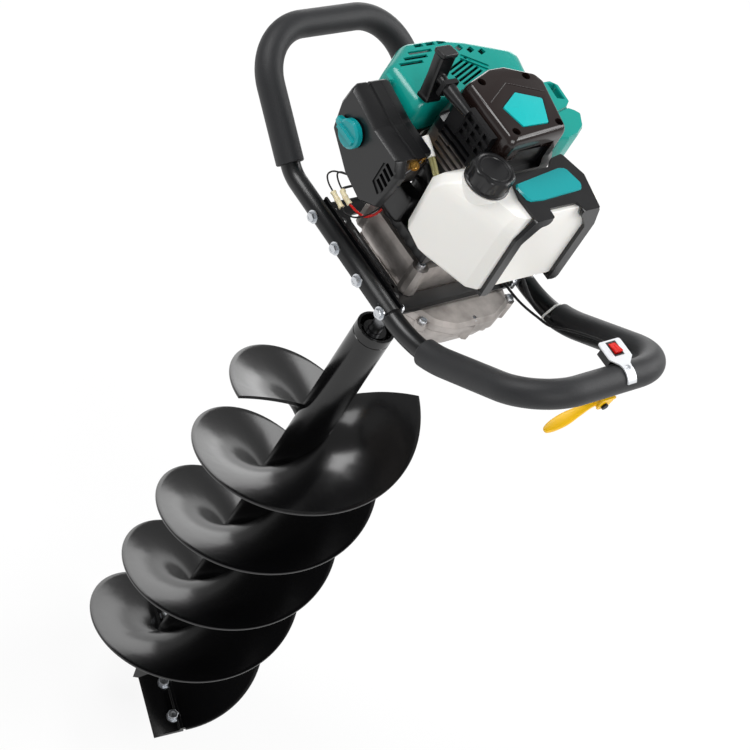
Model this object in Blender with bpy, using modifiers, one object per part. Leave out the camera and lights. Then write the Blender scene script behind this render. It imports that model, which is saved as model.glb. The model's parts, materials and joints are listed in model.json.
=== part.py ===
"""One-man petrol earth auger: a two-stroke power head on a tubular frame, with a 250 mm drill.

Metres, +Z up. The origin lies on the drill's axis, level with the centrelines of the two frame
tubes. X runs along the tubes towards the throttle handle, and Y from the near tube to the far one.
"""
import math

import bmesh
import bpy
from mathutils import Matrix, Vector

# Frame: two parallel tubes that bend up into a loop handle at each end
TUBE_Y = 0.103
TUBE_R = 0.0115
TUBE_WALL = 0.0016
TUBE_JOINT_X = 0.0705
LEFT = {"bend_x": -0.138, "rise": 30.7, "leg": 0.166, "bend_r": 0.044, "corner_r": 0.0637}
RIGHT = {"bend_x": 0.1217, "rise": 34.7, "leg": 0.1864, "bend_r": 0.150, "corner_r": 0.0583}
GRIP_R = 0.0162
GRIP_START = {"left": 0.149, "right": 0.131}
DECK_BOLT_X = (-0.077, -0.030, 0.017, 0.064)

# Drill: a tube with two right-hand flights that start opposite each other
DRILL_TOP = -0.137
DRILL_BOTTOM = -0.876
DRILL_R = 0.024
DRILL_WALL = 0.0035
FLIGHT_R = 0.125
FLIGHT_TOP = -0.272
FLIGHT_BOTTOM = -0.849
FLIGHT_LEAD = 0.2558
FLIGHT_TOP_ANGLE = 75.0
FLIGHT_THICK = 0.005
BLADE_TILT = 23.0

# Reduction gears: two equal stages, the output on the crank's own axis
GEAR_MODULE = 0.0015
GEAR_TEETH = 54
PINION_TEETH = 10
LAYSHAFT_X = GEAR_MODULE * (GEAR_TEETH + PINION_TEETH) / 2
OUTPUT_SHAFT_R = 0.008

# Power head heights above the tubes' plane
STARTER_TOP = 0.242
STARTER_SKIRT = 0.212
FLYWHEEL_Z = (0.158, 0.176)
CYLINDER_Z = 0.104
PULLEY_R = 0.026
GAP = 0.0003

for old in list(bpy.data.objects):
    bpy.data.objects.remove(old, do_unlink=True)
PARTS = bpy.data.collections.new("earth_auger")
CUTTERS = bpy.data.collections.new("cutters")
bpy.context.scene.collection.children.link(PARTS)
bpy.context.scene.collection.children.link(CUTTERS)


def paint(name, colour, roughness, metallic=0.0):
    """A Principled material with the part's own colour."""
    made = bpy.data.materials.new(name)
    made.use_nodes = True
    shader = made.node_tree.nodes["Principled BSDF"]
    shader.inputs["Base Color"].default_value = (*colour, 1.0)
    shader.inputs["Roughness"].default_value = roughness
    shader.inputs["Metallic"].default_value = metallic
    return made


BLACK_ENAMEL = paint("black enamel", (0.012, 0.012, 0.014), 0.25)
FRAME_PAINT = paint("frame paint", (0.02, 0.022, 0.025), 0.4)
FOAM = paint("grip foam", (0.03, 0.032, 0.035), 0.8)
CAST = paint("cast aluminium", (0.55, 0.53, 0.52), 0.5, 1.0)
STEEL = paint("steel", (0.45, 0.45, 0.46), 0.35, 1.0)
ZINC = paint("zinc plate", (0.8, 0.8, 0.8), 0.3, 1.0)
BRASS = paint("brass", (0.62, 0.42, 0.16), 0.35, 1.0)
BLACK_PLASTIC = paint("black moulding", (0.018, 0.018, 0.02), 0.5)
BROWN_PLASTIC = paint("starter cover moulding", (0.045, 0.032, 0.028), 0.45)
TEAL = paint("teal moulding", (0.0, 0.25, 0.26), 0.3)
TANK_WHITE = paint("natural polyethylene", (0.85, 0.83, 0.78), 0.45)
YELLOW = paint("yellow moulding", (0.85, 0.5, 0.02), 0.4)
RED = paint("red moulding", (0.75, 0.04, 0.02), 0.35)
SILVER = paint("satin zinc plate", (0.75, 0.76, 0.78), 0.35, 1.0)
RUBBER = paint("rubber", (0.02, 0.02, 0.02), 0.8)
CREAM = paint("cream sleeve", (0.75, 0.68, 0.5), 0.5)
FUEL_TUBE = paint("fuel tube", (0.7, 0.68, 0.35), 0.35)


# General shapes

def add(name, mesh, mat, at=(0, 0, 0), turn=(0, 0, 0), group=PARTS):
    """A named object from a mesh, at a place and a rotation in degrees."""
    obj = bpy.data.objects.new(name, mesh)
    obj.location = at
    obj.rotation_euler = [math.radians(a) for a in turn]
    obj.data.materials.clear()
    obj.data.materials.append(mat)
    group.objects.link(obj)
    return obj


def mesh_of(name, form):
    """A mesh from a bmesh, with its faces pointing out and its sharp edges kept sharp."""
    bmesh.ops.recalc_face_normals(form, faces=form.faces)
    mesh = bpy.data.meshes.new(name)
    form.to_mesh(mesh)
    form.free()
    mesh.shade_smooth()
    mesh.set_sharp_from_angle(angle=math.radians(35))
    return mesh


def block(form, size, centre, turn=None):
    """A box in a bmesh."""
    place = Matrix.Translation(centre) @ (turn or Matrix()) @ Matrix.Diagonal((*size, 1.0))
    return bmesh.ops.create_cube(form, size=1.0, matrix=place)["verts"]


def rod(form, start, end, radius, end_radius=None, sides=16):
    """A closed cylinder or cone from one point to another."""
    start, end = Vector(start), Vector(end)
    turn = (end - start).to_track_quat("Z", "Y").to_matrix().to_4x4()
    place = Matrix.Translation((start + end) / 2) @ turn
    second = radius if end_radius is None else end_radius
    bmesh.ops.create_cone(form, cap_ends=True, segments=sides, radius1=radius, radius2=second,
                          depth=(end - start).length, matrix=place)


def rounded(points, radius, steps=3):
    """An outline with each corner turned into an arc, shrunk where a side is short."""
    count = len(points)
    out = []
    for i in range(count):
        corner = Vector(points[i])
        back = Vector(points[i - 1]) - corner
        ahead = Vector(points[(i + 1) % count]) - corner
        angle = back.angle(ahead)
        reach = min(radius / math.tan(angle / 2), 0.45 * back.length, 0.45 * ahead.length)
        arc_r = reach * math.tan(angle / 2)
        middle = corner + (back.normalized() + ahead.normalized()).normalized() * (
            arc_r / math.sin(angle / 2))
        first = corner + back.normalized() * reach - middle
        last = corner + ahead.normalized() * reach - middle
        sweep = first.angle(last)
        for k in range(steps + 1):
            share = k / steps
            spoke = (first * math.sin((1 - share) * sweep) + last * math.sin(share * sweep))
            out.append(tuple(middle + spoke / math.sin(sweep)))
    return out


def rectangle(x0, x1, y0, y1):
    """The four corners of a rectangle, anticlockwise."""
    return [(x0, y0), (x1, y0), (x1, y1), (x0, y1)]


def scaled(outline, factor, about=None):
    """An outline shrunk or grown about a point, its own middle by default."""
    if about is None:
        about = (sum(p[0] for p in outline) / len(outline), sum(p[1] for p in outline) / len(outline))
    kx, ky = factor if isinstance(factor, tuple) else (factor, factor)
    return [(about[0] + (x - about[0]) * kx, about[1] + (y - about[1]) * ky) for x, y in outline]


def loft(form, sections):
    """A closed solid through flat outlines of equal length, each with its own height."""
    rings = [[form.verts.new((x, y, z)) for x, y in outline] for outline, z in sections]
    for low, high in zip(rings, rings[1:]):
        for i in range(len(low)):
            j = (i + 1) % len(low)
            form.faces.new((low[i], low[j], high[j], high[i]))
    form.faces.new(rings[0][::-1])
    form.faces.new(rings[-1])


def slab(form, outline, z0, z1):
    """A flat plate of one outline."""
    loft(form, [(outline, z0), (outline, z1)])


def circle(radius, sides=20, centre=(0, 0)):
    """The corners of a circle."""
    return [(centre[0] + radius * math.cos(math.tau * k / sides),
             centre[1] + radius * math.sin(math.tau * k / sides)) for k in range(sides)]


def stepped(form, steps, sides=20):
    """A round solid of several diameters, given as radius and height from one end to the other."""
    loft(form, [(circle(radius, sides), z) for radius, z in steps])


def sleeve(form, profile, sides=24, centre=(0, 0)):
    """A round solid with a hole through it, from a closed profile of radius and height."""
    rings = [[form.verts.new((x, y, z)) for x, y in circle(radius, sides, centre)] for radius, z in profile]
    for low, high in zip(rings, rings[1:] + rings[:1]):
        for i in range(sides):
            j = (i + 1) % sides
            form.faces.new((low[i], low[j], high[j], high[i]))


def fresh():
    """An empty bmesh."""
    return bmesh.new()


def turned(name, profile, mat, steps=24, at=(0, 0, 0), turn=(0, 0, 0), group=PARTS):
    """A turned solid: radius and height pairs, from the outer top downwards, spun about Z."""
    form = fresh()
    closed = profile[0][0] > 1e-6 or profile[-1][0] > 1e-6
    points = [form.verts.new((r, 0, z)) for r, z in profile]
    for a, b in zip(points, points[1:]):
        form.edges.new((a, b))
    if closed:
        form.edges.new((points[-1], points[0]))
    mesh = bpy.data.meshes.new(name)
    form.to_mesh(mesh)
    form.free()
    obj = add(name, mesh, mat, at, turn, group)
    screw = obj.modifiers.new("turn", "SCREW")
    screw.steps = screw.render_steps = steps
    screw.use_merge_vertices = True
    screw.merge_threshold = 0.00001
    screw.use_smooth_shade = True
    return obj


def tool(name, form, at=(0, 0, 0), turn=(0, 0, 0)):
    """A cutter or a joining piece, left out of the object itself."""
    obj = add(name, mesh_of(name, form), STEEL, at, turn, CUTTERS)
    obj.hide_render = True
    obj.display_type = "WIRE"
    return obj


def boolean(obj, other, operation="DIFFERENCE"):
    """One Boolean modifier with the exact solver."""
    other.hide_render = True
    other.display_type = "WIRE"
    step = obj.modifiers.new(operation.lower(), "BOOLEAN")
    step.operation = operation
    step.object = other
    step.solver = "EXACT"
    step.use_self = True
    return step


def bevel(obj, width, segments=1, angle=40):
    """Rounded edges."""
    step = obj.modifiers.new("edges", "BEVEL")
    step.width = width
    step.segments = segments
    step.limit_method = "ANGLE"
    step.angle_limit = math.radians(angle)
    return step


def wire(name, points, radius, mat, resolution=2, caps=True, at=(0, 0, 0), group=PARTS):
    """A tube along a line of points."""
    curve = bpy.data.curves.new(name, "CURVE")
    curve.dimensions = "3D"
    curve.bevel_depth = radius
    curve.bevel_resolution = resolution
    curve.use_fill_caps = caps
    spline = curve.splines.new("POLY")
    spline.points.add(len(points) - 1)
    for place, point in zip(spline.points, points):
        place.co = (*point, 1.0)
    obj = bpy.data.objects.new(name, curve)
    obj.location = at
    curve.materials.append(mat)
    group.objects.link(obj)
    return obj


def made_mesh(obj):
    """The same piece as a mesh with its caps welded, for a Boolean."""
    view = bpy.context.evaluated_depsgraph_get()
    view.update()
    mesh = bpy.data.meshes.new_from_object(obj.evaluated_get(view))
    form = fresh()
    form.from_mesh(mesh)
    bmesh.ops.remove_doubles(form, verts=form.verts, dist=0.00001)
    form.to_mesh(mesh)
    form.free()
    name = obj.name
    mat = obj.data.materials[0]
    place = obj.matrix_world.copy()
    bpy.data.objects.remove(obj, do_unlink=True)
    solid = add(name, mesh, mat)
    solid.matrix_world = place
    return solid


def smooth_line(points, count):
    """A Catmull-Rom line through a route's points."""
    knots = [Vector(p) for p in points]
    knots = [2 * knots[0] - knots[1]] + knots + [2 * knots[-1] - knots[-2]]
    out = []
    for i in range(count):
        t = i / (count - 1) * (len(points) - 1)
        k = min(int(t), len(points) - 2)
        u = t - k
        a, b, c, d = knots[k:k + 4]
        out.append(tuple(0.5 * (2 * b + (c - a) * u + (2 * a - 5 * b + 4 * c - d) * u * u
                                + (3 * b - a - 3 * c + d) * u ** 3)))
    return out


def bent_line(points, radii, steps=4):
    """A line of straight runs with an arc of the given radius at each inner corner."""
    line = [Vector(points[0])]
    for i in range(1, len(points) - 1):
        corner = Vector(points[i])
        back = (Vector(points[i - 1]) - corner).normalized()
        ahead = (Vector(points[i + 1]) - corner).normalized()
        angle = back.angle(ahead)
        middle = corner + (back + ahead).normalized() * radii[i - 1] / math.sin(angle / 2)
        reach = radii[i - 1] / math.tan(angle / 2)
        first = corner + back * reach - middle
        last = corner + ahead * reach - middle
        sweep = math.pi - angle
        for k in range(steps + 1):
            share = k / steps
            line.append(middle + (first * math.sin((1 - share) * sweep)
                                  + last * math.sin(share * sweep)) / math.sin(sweep))
    line.append(Vector(points[-1]))
    return line


# Frame

def handle_line(spec, side):
    """The centreline of one handle: along the near tube, round the loop, back along the far one."""
    rise = math.radians(spec["rise"])
    end_x = spec["bend_x"] + side * spec["leg"] * math.cos(rise)
    end_z = spec["leg"] * math.sin(rise)
    joint = TUBE_JOINT_X - side * GAP if side < 0 else TUBE_JOINT_X
    corners = [(joint, -TUBE_Y, 0), (spec["bend_x"], -TUBE_Y, 0), (end_x, -TUBE_Y, end_z),
               (end_x, TUBE_Y, end_z), (spec["bend_x"], TUBE_Y, 0), (joint, TUBE_Y, 0)]
    if side < 0:
        corners[0] = (TUBE_JOINT_X - GAP, -TUBE_Y, 0)
        corners[-1] = (TUBE_JOINT_X - GAP, TUBE_Y, 0)
    radii = [spec["bend_r"], spec["corner_r"], spec["corner_r"], spec["bend_r"]]
    return bent_line(corners, radii)


def beyond(line, limit):
    """The part of a handle's line that lies further out than a distance along X."""
    keep = []
    for a, b in zip(line, line[1:]):
        inside_a, inside_b = abs(a.x) > limit, abs(b.x) > limit
        if inside_a and not keep:
            keep.append(a)
        if inside_a != inside_b:
            share = (limit - abs(a.x)) / (abs(b.x) - abs(a.x))
            keep.append(a.lerp(b, share))
        if inside_b:
            keep.append(b)
    return keep


def hollow(obj, wall):
    """The wall of a tube, measured inwards from its surface."""
    step = obj.modifiers.new("wall", "SOLIDIFY")
    step.thickness = wall
    step.offset = -1.0
    step.use_even_offset = True
    return step


def handle_tube(name, spec, side):
    """One bent tube of the frame, drilled for the deck's bolts. The right one ends in two plugs."""
    tube = wire(name, handle_line(spec, side), TUBE_R, FRAME_PAINT, 3, False)
    hollow(tube, TUBE_WALL)
    tube = made_mesh(tube)
    if side > 0:
        spigots = fresh()
        for y in (-TUBE_Y, TUBE_Y):
            rod(spigots, (TUBE_JOINT_X - 0.0300, y, 0), (TUBE_JOINT_X + 0.0030, y, 0), 0.0092, sides=14)
            rod(spigots, (TUBE_JOINT_X + 0.0010, y, 0), (TUBE_JOINT_X + 0.0120, y, 0), 0.0107, sides=14)
        boolean(tube, tool("tube_spigots", spigots), "UNION")
        bores = fresh()
        for y in (-TUBE_Y, TUBE_Y):
            rod(bores, (TUBE_JOINT_X - 0.0400, y, 0), (TUBE_JOINT_X + 0.0300, y, 0), 0.0070, sides=12)
        boolean(tube, tool("spigot_bores", bores))
    drills = fresh()
    for x in DECK_BOLT_X:
        for y in (-TUBE_Y, TUBE_Y):
            rod(drills, (x, y - 0.02, 0), (x, y + 0.02, 0), 0.0036, sides=6)
    boolean(tube, tool(name + "_drills", drills))
    return tube


def grip(name, spec, side, start):
    """A closed-cell foam sleeve over one loop."""
    sleeve = wire(name, beyond(handle_line(spec, side), start), GRIP_R, FOAM, 3, False)
    hollow(sleeve, GRIP_R - TUBE_R - 0.0007)
    return made_mesh(sleeve)


handle_tube("frame_tube_left", LEFT, -1)
handle_tube("frame_tube_right", RIGHT, 1)
grip("grip_foam_left", LEFT, -1, GRIP_START["left"])
grip("grip_foam_right", RIGHT, 1, GRIP_START["right"])


DECK_FLANGE_Y = TUBE_Y - TUBE_R - GAP
DECK_Z = -0.003


def deck_plate():
    """A pressed steel tray between the tubes, open in the middle for the clutch housing."""
    form = fresh()
    slab(form, rounded(rectangle(-0.093, 0.069, -DECK_FLANGE_Y, DECK_FLANGE_Y), 0.004, 2),
         DECK_Z - 0.003, DECK_Z)
    plate = add("deck_plate", mesh_of("deck_plate", form), FRAME_PAINT)
    flanges = fresh()
    for side in (-1, 1):
        y = side * (DECK_FLANGE_Y - 0.0015)
        block(flanges, (0.162, 0.003, 0.0205), (-0.012, y, -0.0005))
    block(flanges, (0.003, 2 * DECK_FLANGE_Y - 0.004, 0.014), (-0.0915, 0, -0.0095))
    boolean(plate, tool("deck_flanges", flanges), "UNION")
    openings = fresh()
    slab(openings, rounded(rectangle(-0.072, 0.047, -0.0665, 0.0665), 0.010, 3), -0.02, 0.01)
    for x in (-0.066, 0.045):
        for y in (-0.077, 0.077):
            rod(openings, (x, y, -0.02), (x, y, 0.01), 0.0048, sides=10)
    for x in DECK_BOLT_X:
        for side in (-1, 1):
            rod(openings, (x, side * 0.085, 0), (x, side * 0.098, 0), 0.0036, sides=6)
    boolean(plate, tool("deck_openings", openings))
    ribs = fresh()
    for side in (-1, 1):
        for y in (0.0715, 0.0805):
            rod(ribs, (-0.050, side * y, DECK_Z - 0.0006), (0.030, side * y, DECK_Z - 0.0006),
                0.0018, sides=6)
    boolean(plate, tool("deck_ribs", ribs), "UNION")
    return plate


deck_plate()


# Gearbox

CASE_OUTLINE = [(-0.045, -0.046), (-0.010, -0.066), (0.055, -0.066), (0.088, -0.045), (0.101, -0.020),
                (0.101, 0.040), (0.086, 0.072), (0.056, 0.082), (0.000, 0.074), (-0.043, 0.048),
                (-0.058, 0.000)]
CASE_SCREWS = [(0.080, -0.056), (0.094, 0.010), (0.079, 0.078), (0.020, 0.084), (-0.047, 0.050),
               (-0.047, -0.050), (0.010, -0.072)]
GEARBOX_TOP = -0.0075
GEARBOX_SPLIT = -0.022


def gearbox_upper_case():
    """The gearbox's cover: a machined lid with a flange, screw lugs and the input bearing's boss."""
    outline = rounded(CASE_OUTLINE, 0.014, 2)
    form = fresh()
    loft(form, [(outline, GEARBOX_SPLIT + GAP), (outline, -0.0125), (scaled(outline, 0.94), GEARBOX_TOP)])
    case = add("gearbox_upper_case", mesh_of("gearbox_upper_case", form), CAST)
    lugs = fresh()
    for x, y in CASE_SCREWS:
        rod(lugs, (x, y, GEARBOX_SPLIT + GAP), (x, y, -0.0135), 0.0075, sides=8)
    boolean(case, tool("upper_lugs", lugs), "UNION")
    room = fresh()
    slab(room, scaled(outline, 0.90), GEARBOX_SPLIT - 0.01, -0.0122)
    rod(room, (0, 0, -0.03), (0, 0, 0.0), 0.0130, sides=20)
    rod(room, (LAYSHAFT_X, 0, -0.03), (LAYSHAFT_X, 0, -0.0100), 0.0054, sides=16)
    boolean(case, tool("upper_room", room))
    holes = fresh()
    for x, y in CASE_SCREWS:
        rod(holes, (x, y, -0.04), (x, y, 0.0), 0.0026, sides=6)
    boolean(case, tool("upper_screw_holes", holes))
    return case


def gearbox_lower_case():
    """The gearbox's body: a tapered casting with the output boss and two foot bosses below."""
    outline = rounded(CASE_OUTLINE, 0.014, 2)
    form = fresh()
    loft(form, [(scaled(outline, 0.74), -0.0520), (scaled(outline, 0.86), -0.0500),
                (scaled(outline, 0.97), -0.0270), (outline, -0.0265), (outline, GEARBOX_SPLIT)])
    case = add("gearbox_lower_case", mesh_of("gearbox_lower_case", form), CAST)
    lumps = fresh()
    for x, y in CASE_SCREWS:
        rod(lumps, (x, y, -0.0400), (x, y, GEARBOX_SPLIT), 0.0068, 0.0075, 8)
    rod(lumps, (0.0, 0.0, -0.080), (0.0, 0.0, -0.045), 0.0200, 0.0240, 20)
    rod(lumps, (0.076, -0.020, -0.0600), (0.076, -0.020, -0.030), 0.0110, 0.0120, 12)
    rod(lumps, (0.078, 0.058, -0.0560), (0.078, 0.058, -0.030), 0.0085, 0.0100, 12)
    boolean(case, tool("lower_lumps", lumps), "UNION")
    room = fresh()
    rod(room, (0.0, 0.0, -0.0460), (0.0, 0.0, 0.0), 0.0430, sides=24)
    rod(room, (LAYSHAFT_X, 0.0, -0.0285), (LAYSHAFT_X, 0.0, 0.0), 0.0430, sides=24)
    rod(room, (LAYSHAFT_X, 0.0, -0.0465), (LAYSHAFT_X, 0.0, 0.0), 0.0110, sides=20)
    rod(room, (LAYSHAFT_X, 0.0, -0.0498), (LAYSHAFT_X, 0.0, 0.0), 0.0054, sides=16)
    boolean(case, tool("lower_room", room))
    bores = fresh()
    rod(bores, (0.0, 0.0, -0.10), (0.0, 0.0, -0.0300), 0.0130, sides=20)
    for x, y in CASE_SCREWS:
        rod(bores, (x, y, -0.0385), (x, y, 0.0), 0.0026, sides=6)
    boolean(case, tool("lower_bores", bores))
    return case


gearbox_upper_case()
gearbox_lower_case()


def gear_outline(teeth, turn_deg=0.0):
    """A spur gear's outline: a straight-sided tooth with clearance at its tip and root."""
    pitch_r = GEAR_MODULE * teeth / 2
    tip_r = pitch_r + 0.80 * GEAR_MODULE
    root_r = pitch_r - 1.15 * GEAR_MODULE
    step = 2 * math.pi / teeth
    out = []
    for k in range(teeth):
        middle = math.radians(turn_deg) + k * step
        for radius, half in ((root_r, -0.29), (tip_r, -0.11), (tip_r, 0.11), (root_r, 0.29)):
            angle = middle + half * step
            out.append((radius * math.cos(angle), radius * math.sin(angle)))
    return out


def gear_shaft(name, gears, steps, at, mat=STEEL):
    """Gears and a shaft made as one piece."""
    teeth, turn_deg, z0, z1 = gears[0]
    form = fresh()
    slab(form, gear_outline(teeth, turn_deg), z0, z1)
    obj = add(name, mesh_of(name, form), mat, at)
    for k, (teeth, turn_deg, z0, z1) in enumerate(gears[1:]):
        other = fresh()
        slab(other, gear_outline(teeth, turn_deg), z0, z1)
        boolean(obj, tool(name + "_gear_" + str(k), other, at), "UNION")
    for k, line in enumerate(steps):
        shaft = fresh()
        stepped(shaft, line)
        boolean(obj, tool(name + "_shaft_" + str(k), shaft, at), "UNION")
    return obj


def drum_room():
    """The room inside the clutch drum, open above for the shoes."""
    form = fresh()
    rod(form, (0, 0, 0.0160), (0, 0, 0.0500), 0.0375, sides=24)
    boolean(bpy.data.objects["clutch_drum"], tool("drum_room", form))


HALF_PINION = 180.0 / PINION_TEETH
HALF_GEAR = 180.0 / GEAR_TEETH
gear_shaft("clutch_drum", [(PINION_TEETH, HALF_PINION, -0.0270, -0.0165)],
           [[(0.0054, -0.0285), (0.0054, -0.0150), (0.0058, -0.0150), (0.0058, 0.0130),
             (0.0395, 0.0130), (0.0395, 0.0400)]], (0, 0, 0))
gear_shaft("layshaft_gear", [(GEAR_TEETH, 0.0, -0.0265, -0.0175),
                             (PINION_TEETH, HALF_PINION, -0.0460, -0.0255)],
           [[(0.0050, -0.0495), (0.0050, -0.0105)]], (LAYSHAFT_X, 0, 0))
gear_shaft("output_shaft", [(GEAR_TEETH, 0.0, -0.0430, -0.0320)],
           [[(OUTPUT_SHAFT_R, -0.1900), (OUTPUT_SHAFT_R, -0.0990), (0.0100, -0.0990), (0.0100, -0.0470),
             (0.0110, -0.0470), (0.0110, -0.0300)]], (0, 0, 0))
drum_room()


def bearing(name, outer, inner, z0, z1):
    """A bearing's rings as one sleeve."""
    form = fresh()
    sleeve(form, [(outer, z0), (outer, z1), (inner, z1), (inner, z0)], 20)
    return add(name, mesh_of(name, form), STEEL)


bearing("input_bearing", 0.0126, 0.0062, -0.0118, -0.0078)
bearing("output_bearing", 0.0126, 0.0104, -0.0790, -0.0520)

# Clutch

HOUSING_OUTLINE = rounded([(-0.062, -0.050), (-0.050, -0.062), (0.040, -0.062), (0.046, -0.056),
                           (0.046, 0.056), (0.040, 0.062), (-0.050, 0.062), (-0.062, 0.050)], 0.012, 2)
HOUSING_BOSSES = [(0.040, -0.058), (0.040, 0.058), (-0.056, -0.052), (-0.056, 0.052)]


def clutch_housing():
    """The cast bell between the gearbox and the engine, round the clutch drum."""
    form = fresh()
    loft(form, [(scaled(HOUSING_OUTLINE, 0.97), -0.0070), (HOUSING_OUTLINE, 0.0000),
                (HOUSING_OUTLINE, 0.0260), (scaled(HOUSING_OUTLINE, 0.95), 0.0330),
                (scaled(HOUSING_OUTLINE, 0.80), 0.0360), (scaled(HOUSING_OUTLINE, 0.78), 0.0440)])
    housing = add("clutch_housing", mesh_of("clutch_housing", form), CAST)
    bosses = fresh()
    for x, y in HOUSING_BOSSES:
        rod(bosses, (x, y, -0.0024), (x, y, 0.0360), 0.0110, 0.0100, 10)
    boolean(housing, tool("housing_bosses", bosses), "UNION")
    room = fresh()
    rod(room, (0, 0, 0.0090), (0, 0, 0.0600), 0.0420, sides=24)
    rod(room, (0, 0, -0.0200), (0, 0, 0.0200), 0.0100, sides=16)
    boolean(housing, tool("housing_room", room))
    holes = fresh()
    for x, y in HOUSING_BOSSES:
        rod(holes, (x, y, 0.0200), (x, y, 0.0500), 0.0026, sides=8)
    boolean(housing, tool("housing_holes", holes))
    return housing


clutch_housing()


def clutch_shoe(name, start):
    """One curved friction shoe on the crank's lower end."""
    form = fresh()
    outer = [(0.0360 * math.cos(math.radians(start + a)), 0.0360 * math.sin(math.radians(start + a)))
             for a in range(0, 157, 12)]
    inner = [(0.0250 * math.cos(math.radians(start + a)), 0.0250 * math.sin(math.radians(start + a)))
             for a in range(156, -1, -12)]
    slab(form, outer + inner, 0.0180, 0.0330)
    return add(name, mesh_of(name, form), CAST)


clutch_shoe("clutch_shoe_first", 12)
clutch_shoe("clutch_shoe_second", 192)


def crankshaft():
    """The crankshaft's two ends, and the arms that carry the clutch shoes."""
    form = fresh()
    slab(form, rounded(rectangle(-0.0235, 0.0235, -0.0090, 0.0090), 0.004, 2), 0.0200, 0.0310)
    obj = add("crankshaft", mesh_of("crankshaft", form), STEEL)
    shaft = fresh()
    stepped(shaft, [(0.0085, 0.0190), (0.0085, 0.0600), (0.0080, 0.0600), (0.0080, 0.1500),
                    (0.0070, 0.1500), (0.0070, 0.1900)])
    boolean(obj, tool("crank_ends", shaft), "UNION")
    return obj


crankshaft()


# Engine

def crankcase():
    """The cast crankcase, stepped, with the cylinder's face and the bearing bore through it."""
    base = rounded([(-0.052, -0.040), (-0.040, -0.052), (0.034, -0.052), (0.046, -0.040),
                    (0.046, 0.040), (0.034, 0.052), (-0.040, 0.052), (-0.052, 0.040)], 0.010, 2)
    form = fresh()
    loft(form, [(base, 0.0445), (base, 0.0560), (scaled(base, 0.86, (0, 0)), 0.0610),
                (scaled(base, 0.84, (0, 0)), 0.1400), (scaled(base, 1.0, (0, 0)), 0.1440),
                (base, 0.1500)])
    case = add("crankcase", mesh_of("crankcase", form), CAST)
    bore = fresh()
    rod(bore, (0, 0, 0.0300), (0, 0, 0.1700), 0.0093, sides=16)
    boolean(case, tool("crank_bore", bore))
    ribs = fresh()
    for side in (-1, 1):
        for z in (0.080, 0.098, 0.116):
            block(ribs, (0.060, 0.006, 0.003), (-0.005, side * 0.0445, z))
    boolean(case, tool("crankcase_ribs", ribs), "UNION")
    return case


crankcase()


def cylinder():
    """The finned cylinder: a barrel along X with thin square fins and a closed head."""
    form = fresh()
    rod(form, (0, 0, 0.0450), (0, 0, 0.1150), 0.0270, sides=16)
    barrel = add("cylinder", mesh_of("cylinder", form), CAST, (0, 0, CYLINDER_Z), (0, -90, 0))
    fins = fresh()
    for k in range(7):
        z = 0.0530 + 0.0090 * k
        slab(fins, rounded(rectangle(-0.0400, 0.0400, -0.0420, 0.0420), 0.012, 2), z, z + 0.0022)
    fins.verts.ensure_lookup_table()
    boolean(barrel, tool("cylinder_fins", fins, (0, 0, CYLINDER_Z), (0, -90, 0)), "UNION")
    head = fresh()
    rod(head, (0, 0, 0.1100), (0, 0, 0.1200), 0.0220, 0.0150, 16)
    boolean(barrel, tool("cylinder_head", head, (0, 0, CYLINDER_Z), (0, -90, 0)), "UNION")
    return barrel


cylinder()


def spark_plug():
    """The spark plug's rubber cap at the cylinder's head."""
    form = fresh()
    rod(form, (-0.1203, 0, CYLINDER_Z), (-0.1350, 0, CYLINDER_Z), 0.0095, 0.0085, 12)
    return add("spark_plug_cap", mesh_of("spark_plug_cap", form), RUBBER)


spark_plug()
turned("flywheel", [(0.0375, 0.1760), (0.0380, 0.1580), (0.0074, 0.1580), (0.0074, 0.1700),
                    (0.0160, 0.1740), (0.0260, 0.1700), (0.0330, 0.1760)], CAST, 24)


HANDLE_AT = (-0.067, -0.0705, 0.229)
GUIDE_AT = (-0.046, -0.0575, 0.229)


def handle_frame():
    """Directions of the rope's pull and of the handle's bar."""
    pull = (Vector(HANDLE_AT) - Vector(GUIDE_AT))
    pull.z = 0
    return pull.normalized()


PULL = handle_frame()


def starter_housing():
    """The black fan housing round the flywheel, open underneath, with the rope's guide at its side."""
    low = rounded([(-0.057, -0.036), (-0.044, -0.060), (0.020, -0.060), (0.045, -0.042),
                   (0.045, 0.040), (0.030, 0.055), (-0.042, 0.055), (-0.057, 0.030)], 0.008, 1)
    high = scaled(low, (0.95, 0.86), (-0.006, 0.0))
    form = fresh()
    loft(form, [(low, 0.1503), (low, 0.1900), (high, 0.1980), (high, 0.2117)])
    housing = add("starter_housing", mesh_of("starter_housing", form), BLACK_PLASTIC)
    room = fresh()
    rod(room, (0, 0, 0.1400), (0, 0, 0.1850), 0.0405, sides=24)
    rod(room, (0, 0, 0.1700), (0, 0, 0.2300), 0.0280, sides=20)
    boolean(housing, tool("flywheel_room", room))
    vents = fresh()
    for k in range(6):
        block(vents, (0.0040, 0.034, 0.024), (-0.032 + 0.011 * k, -0.056, 0.1740))
    boolean(housing, tool("housing_vents", vents))
    turn = (0, 0, math.degrees(math.atan2(PULL.y, PULL.x)))
    guide = fresh()
    slab(guide, rounded(rectangle(-0.0060, 0.0080, -0.0120, 0.0120), 0.003, 1), -0.0440, 0.0090)
    boolean(housing, tool("rope_guide", guide, GUIDE_AT, turn), "UNION")
    bore = fresh()
    rod(bore, (-0.0300, 0, 0), (0.0300, 0, 0), 0.0026, sides=10)
    boolean(housing, tool("guide_bore", bore, GUIDE_AT, turn))
    return housing


starter_housing()

COVER_OUTLINE = [(-0.041, -0.050), (0.034, -0.050), (0.041, -0.043), (0.041, 0.036), (-0.026, 0.053),
                 (-0.038, 0.049), (-0.055, 0.011), (-0.055, -0.011)]
COVER_SCREWS = [(-0.038, -0.036), (0.032, -0.034), (0.030, 0.034), (-0.036, 0.034)]


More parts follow.
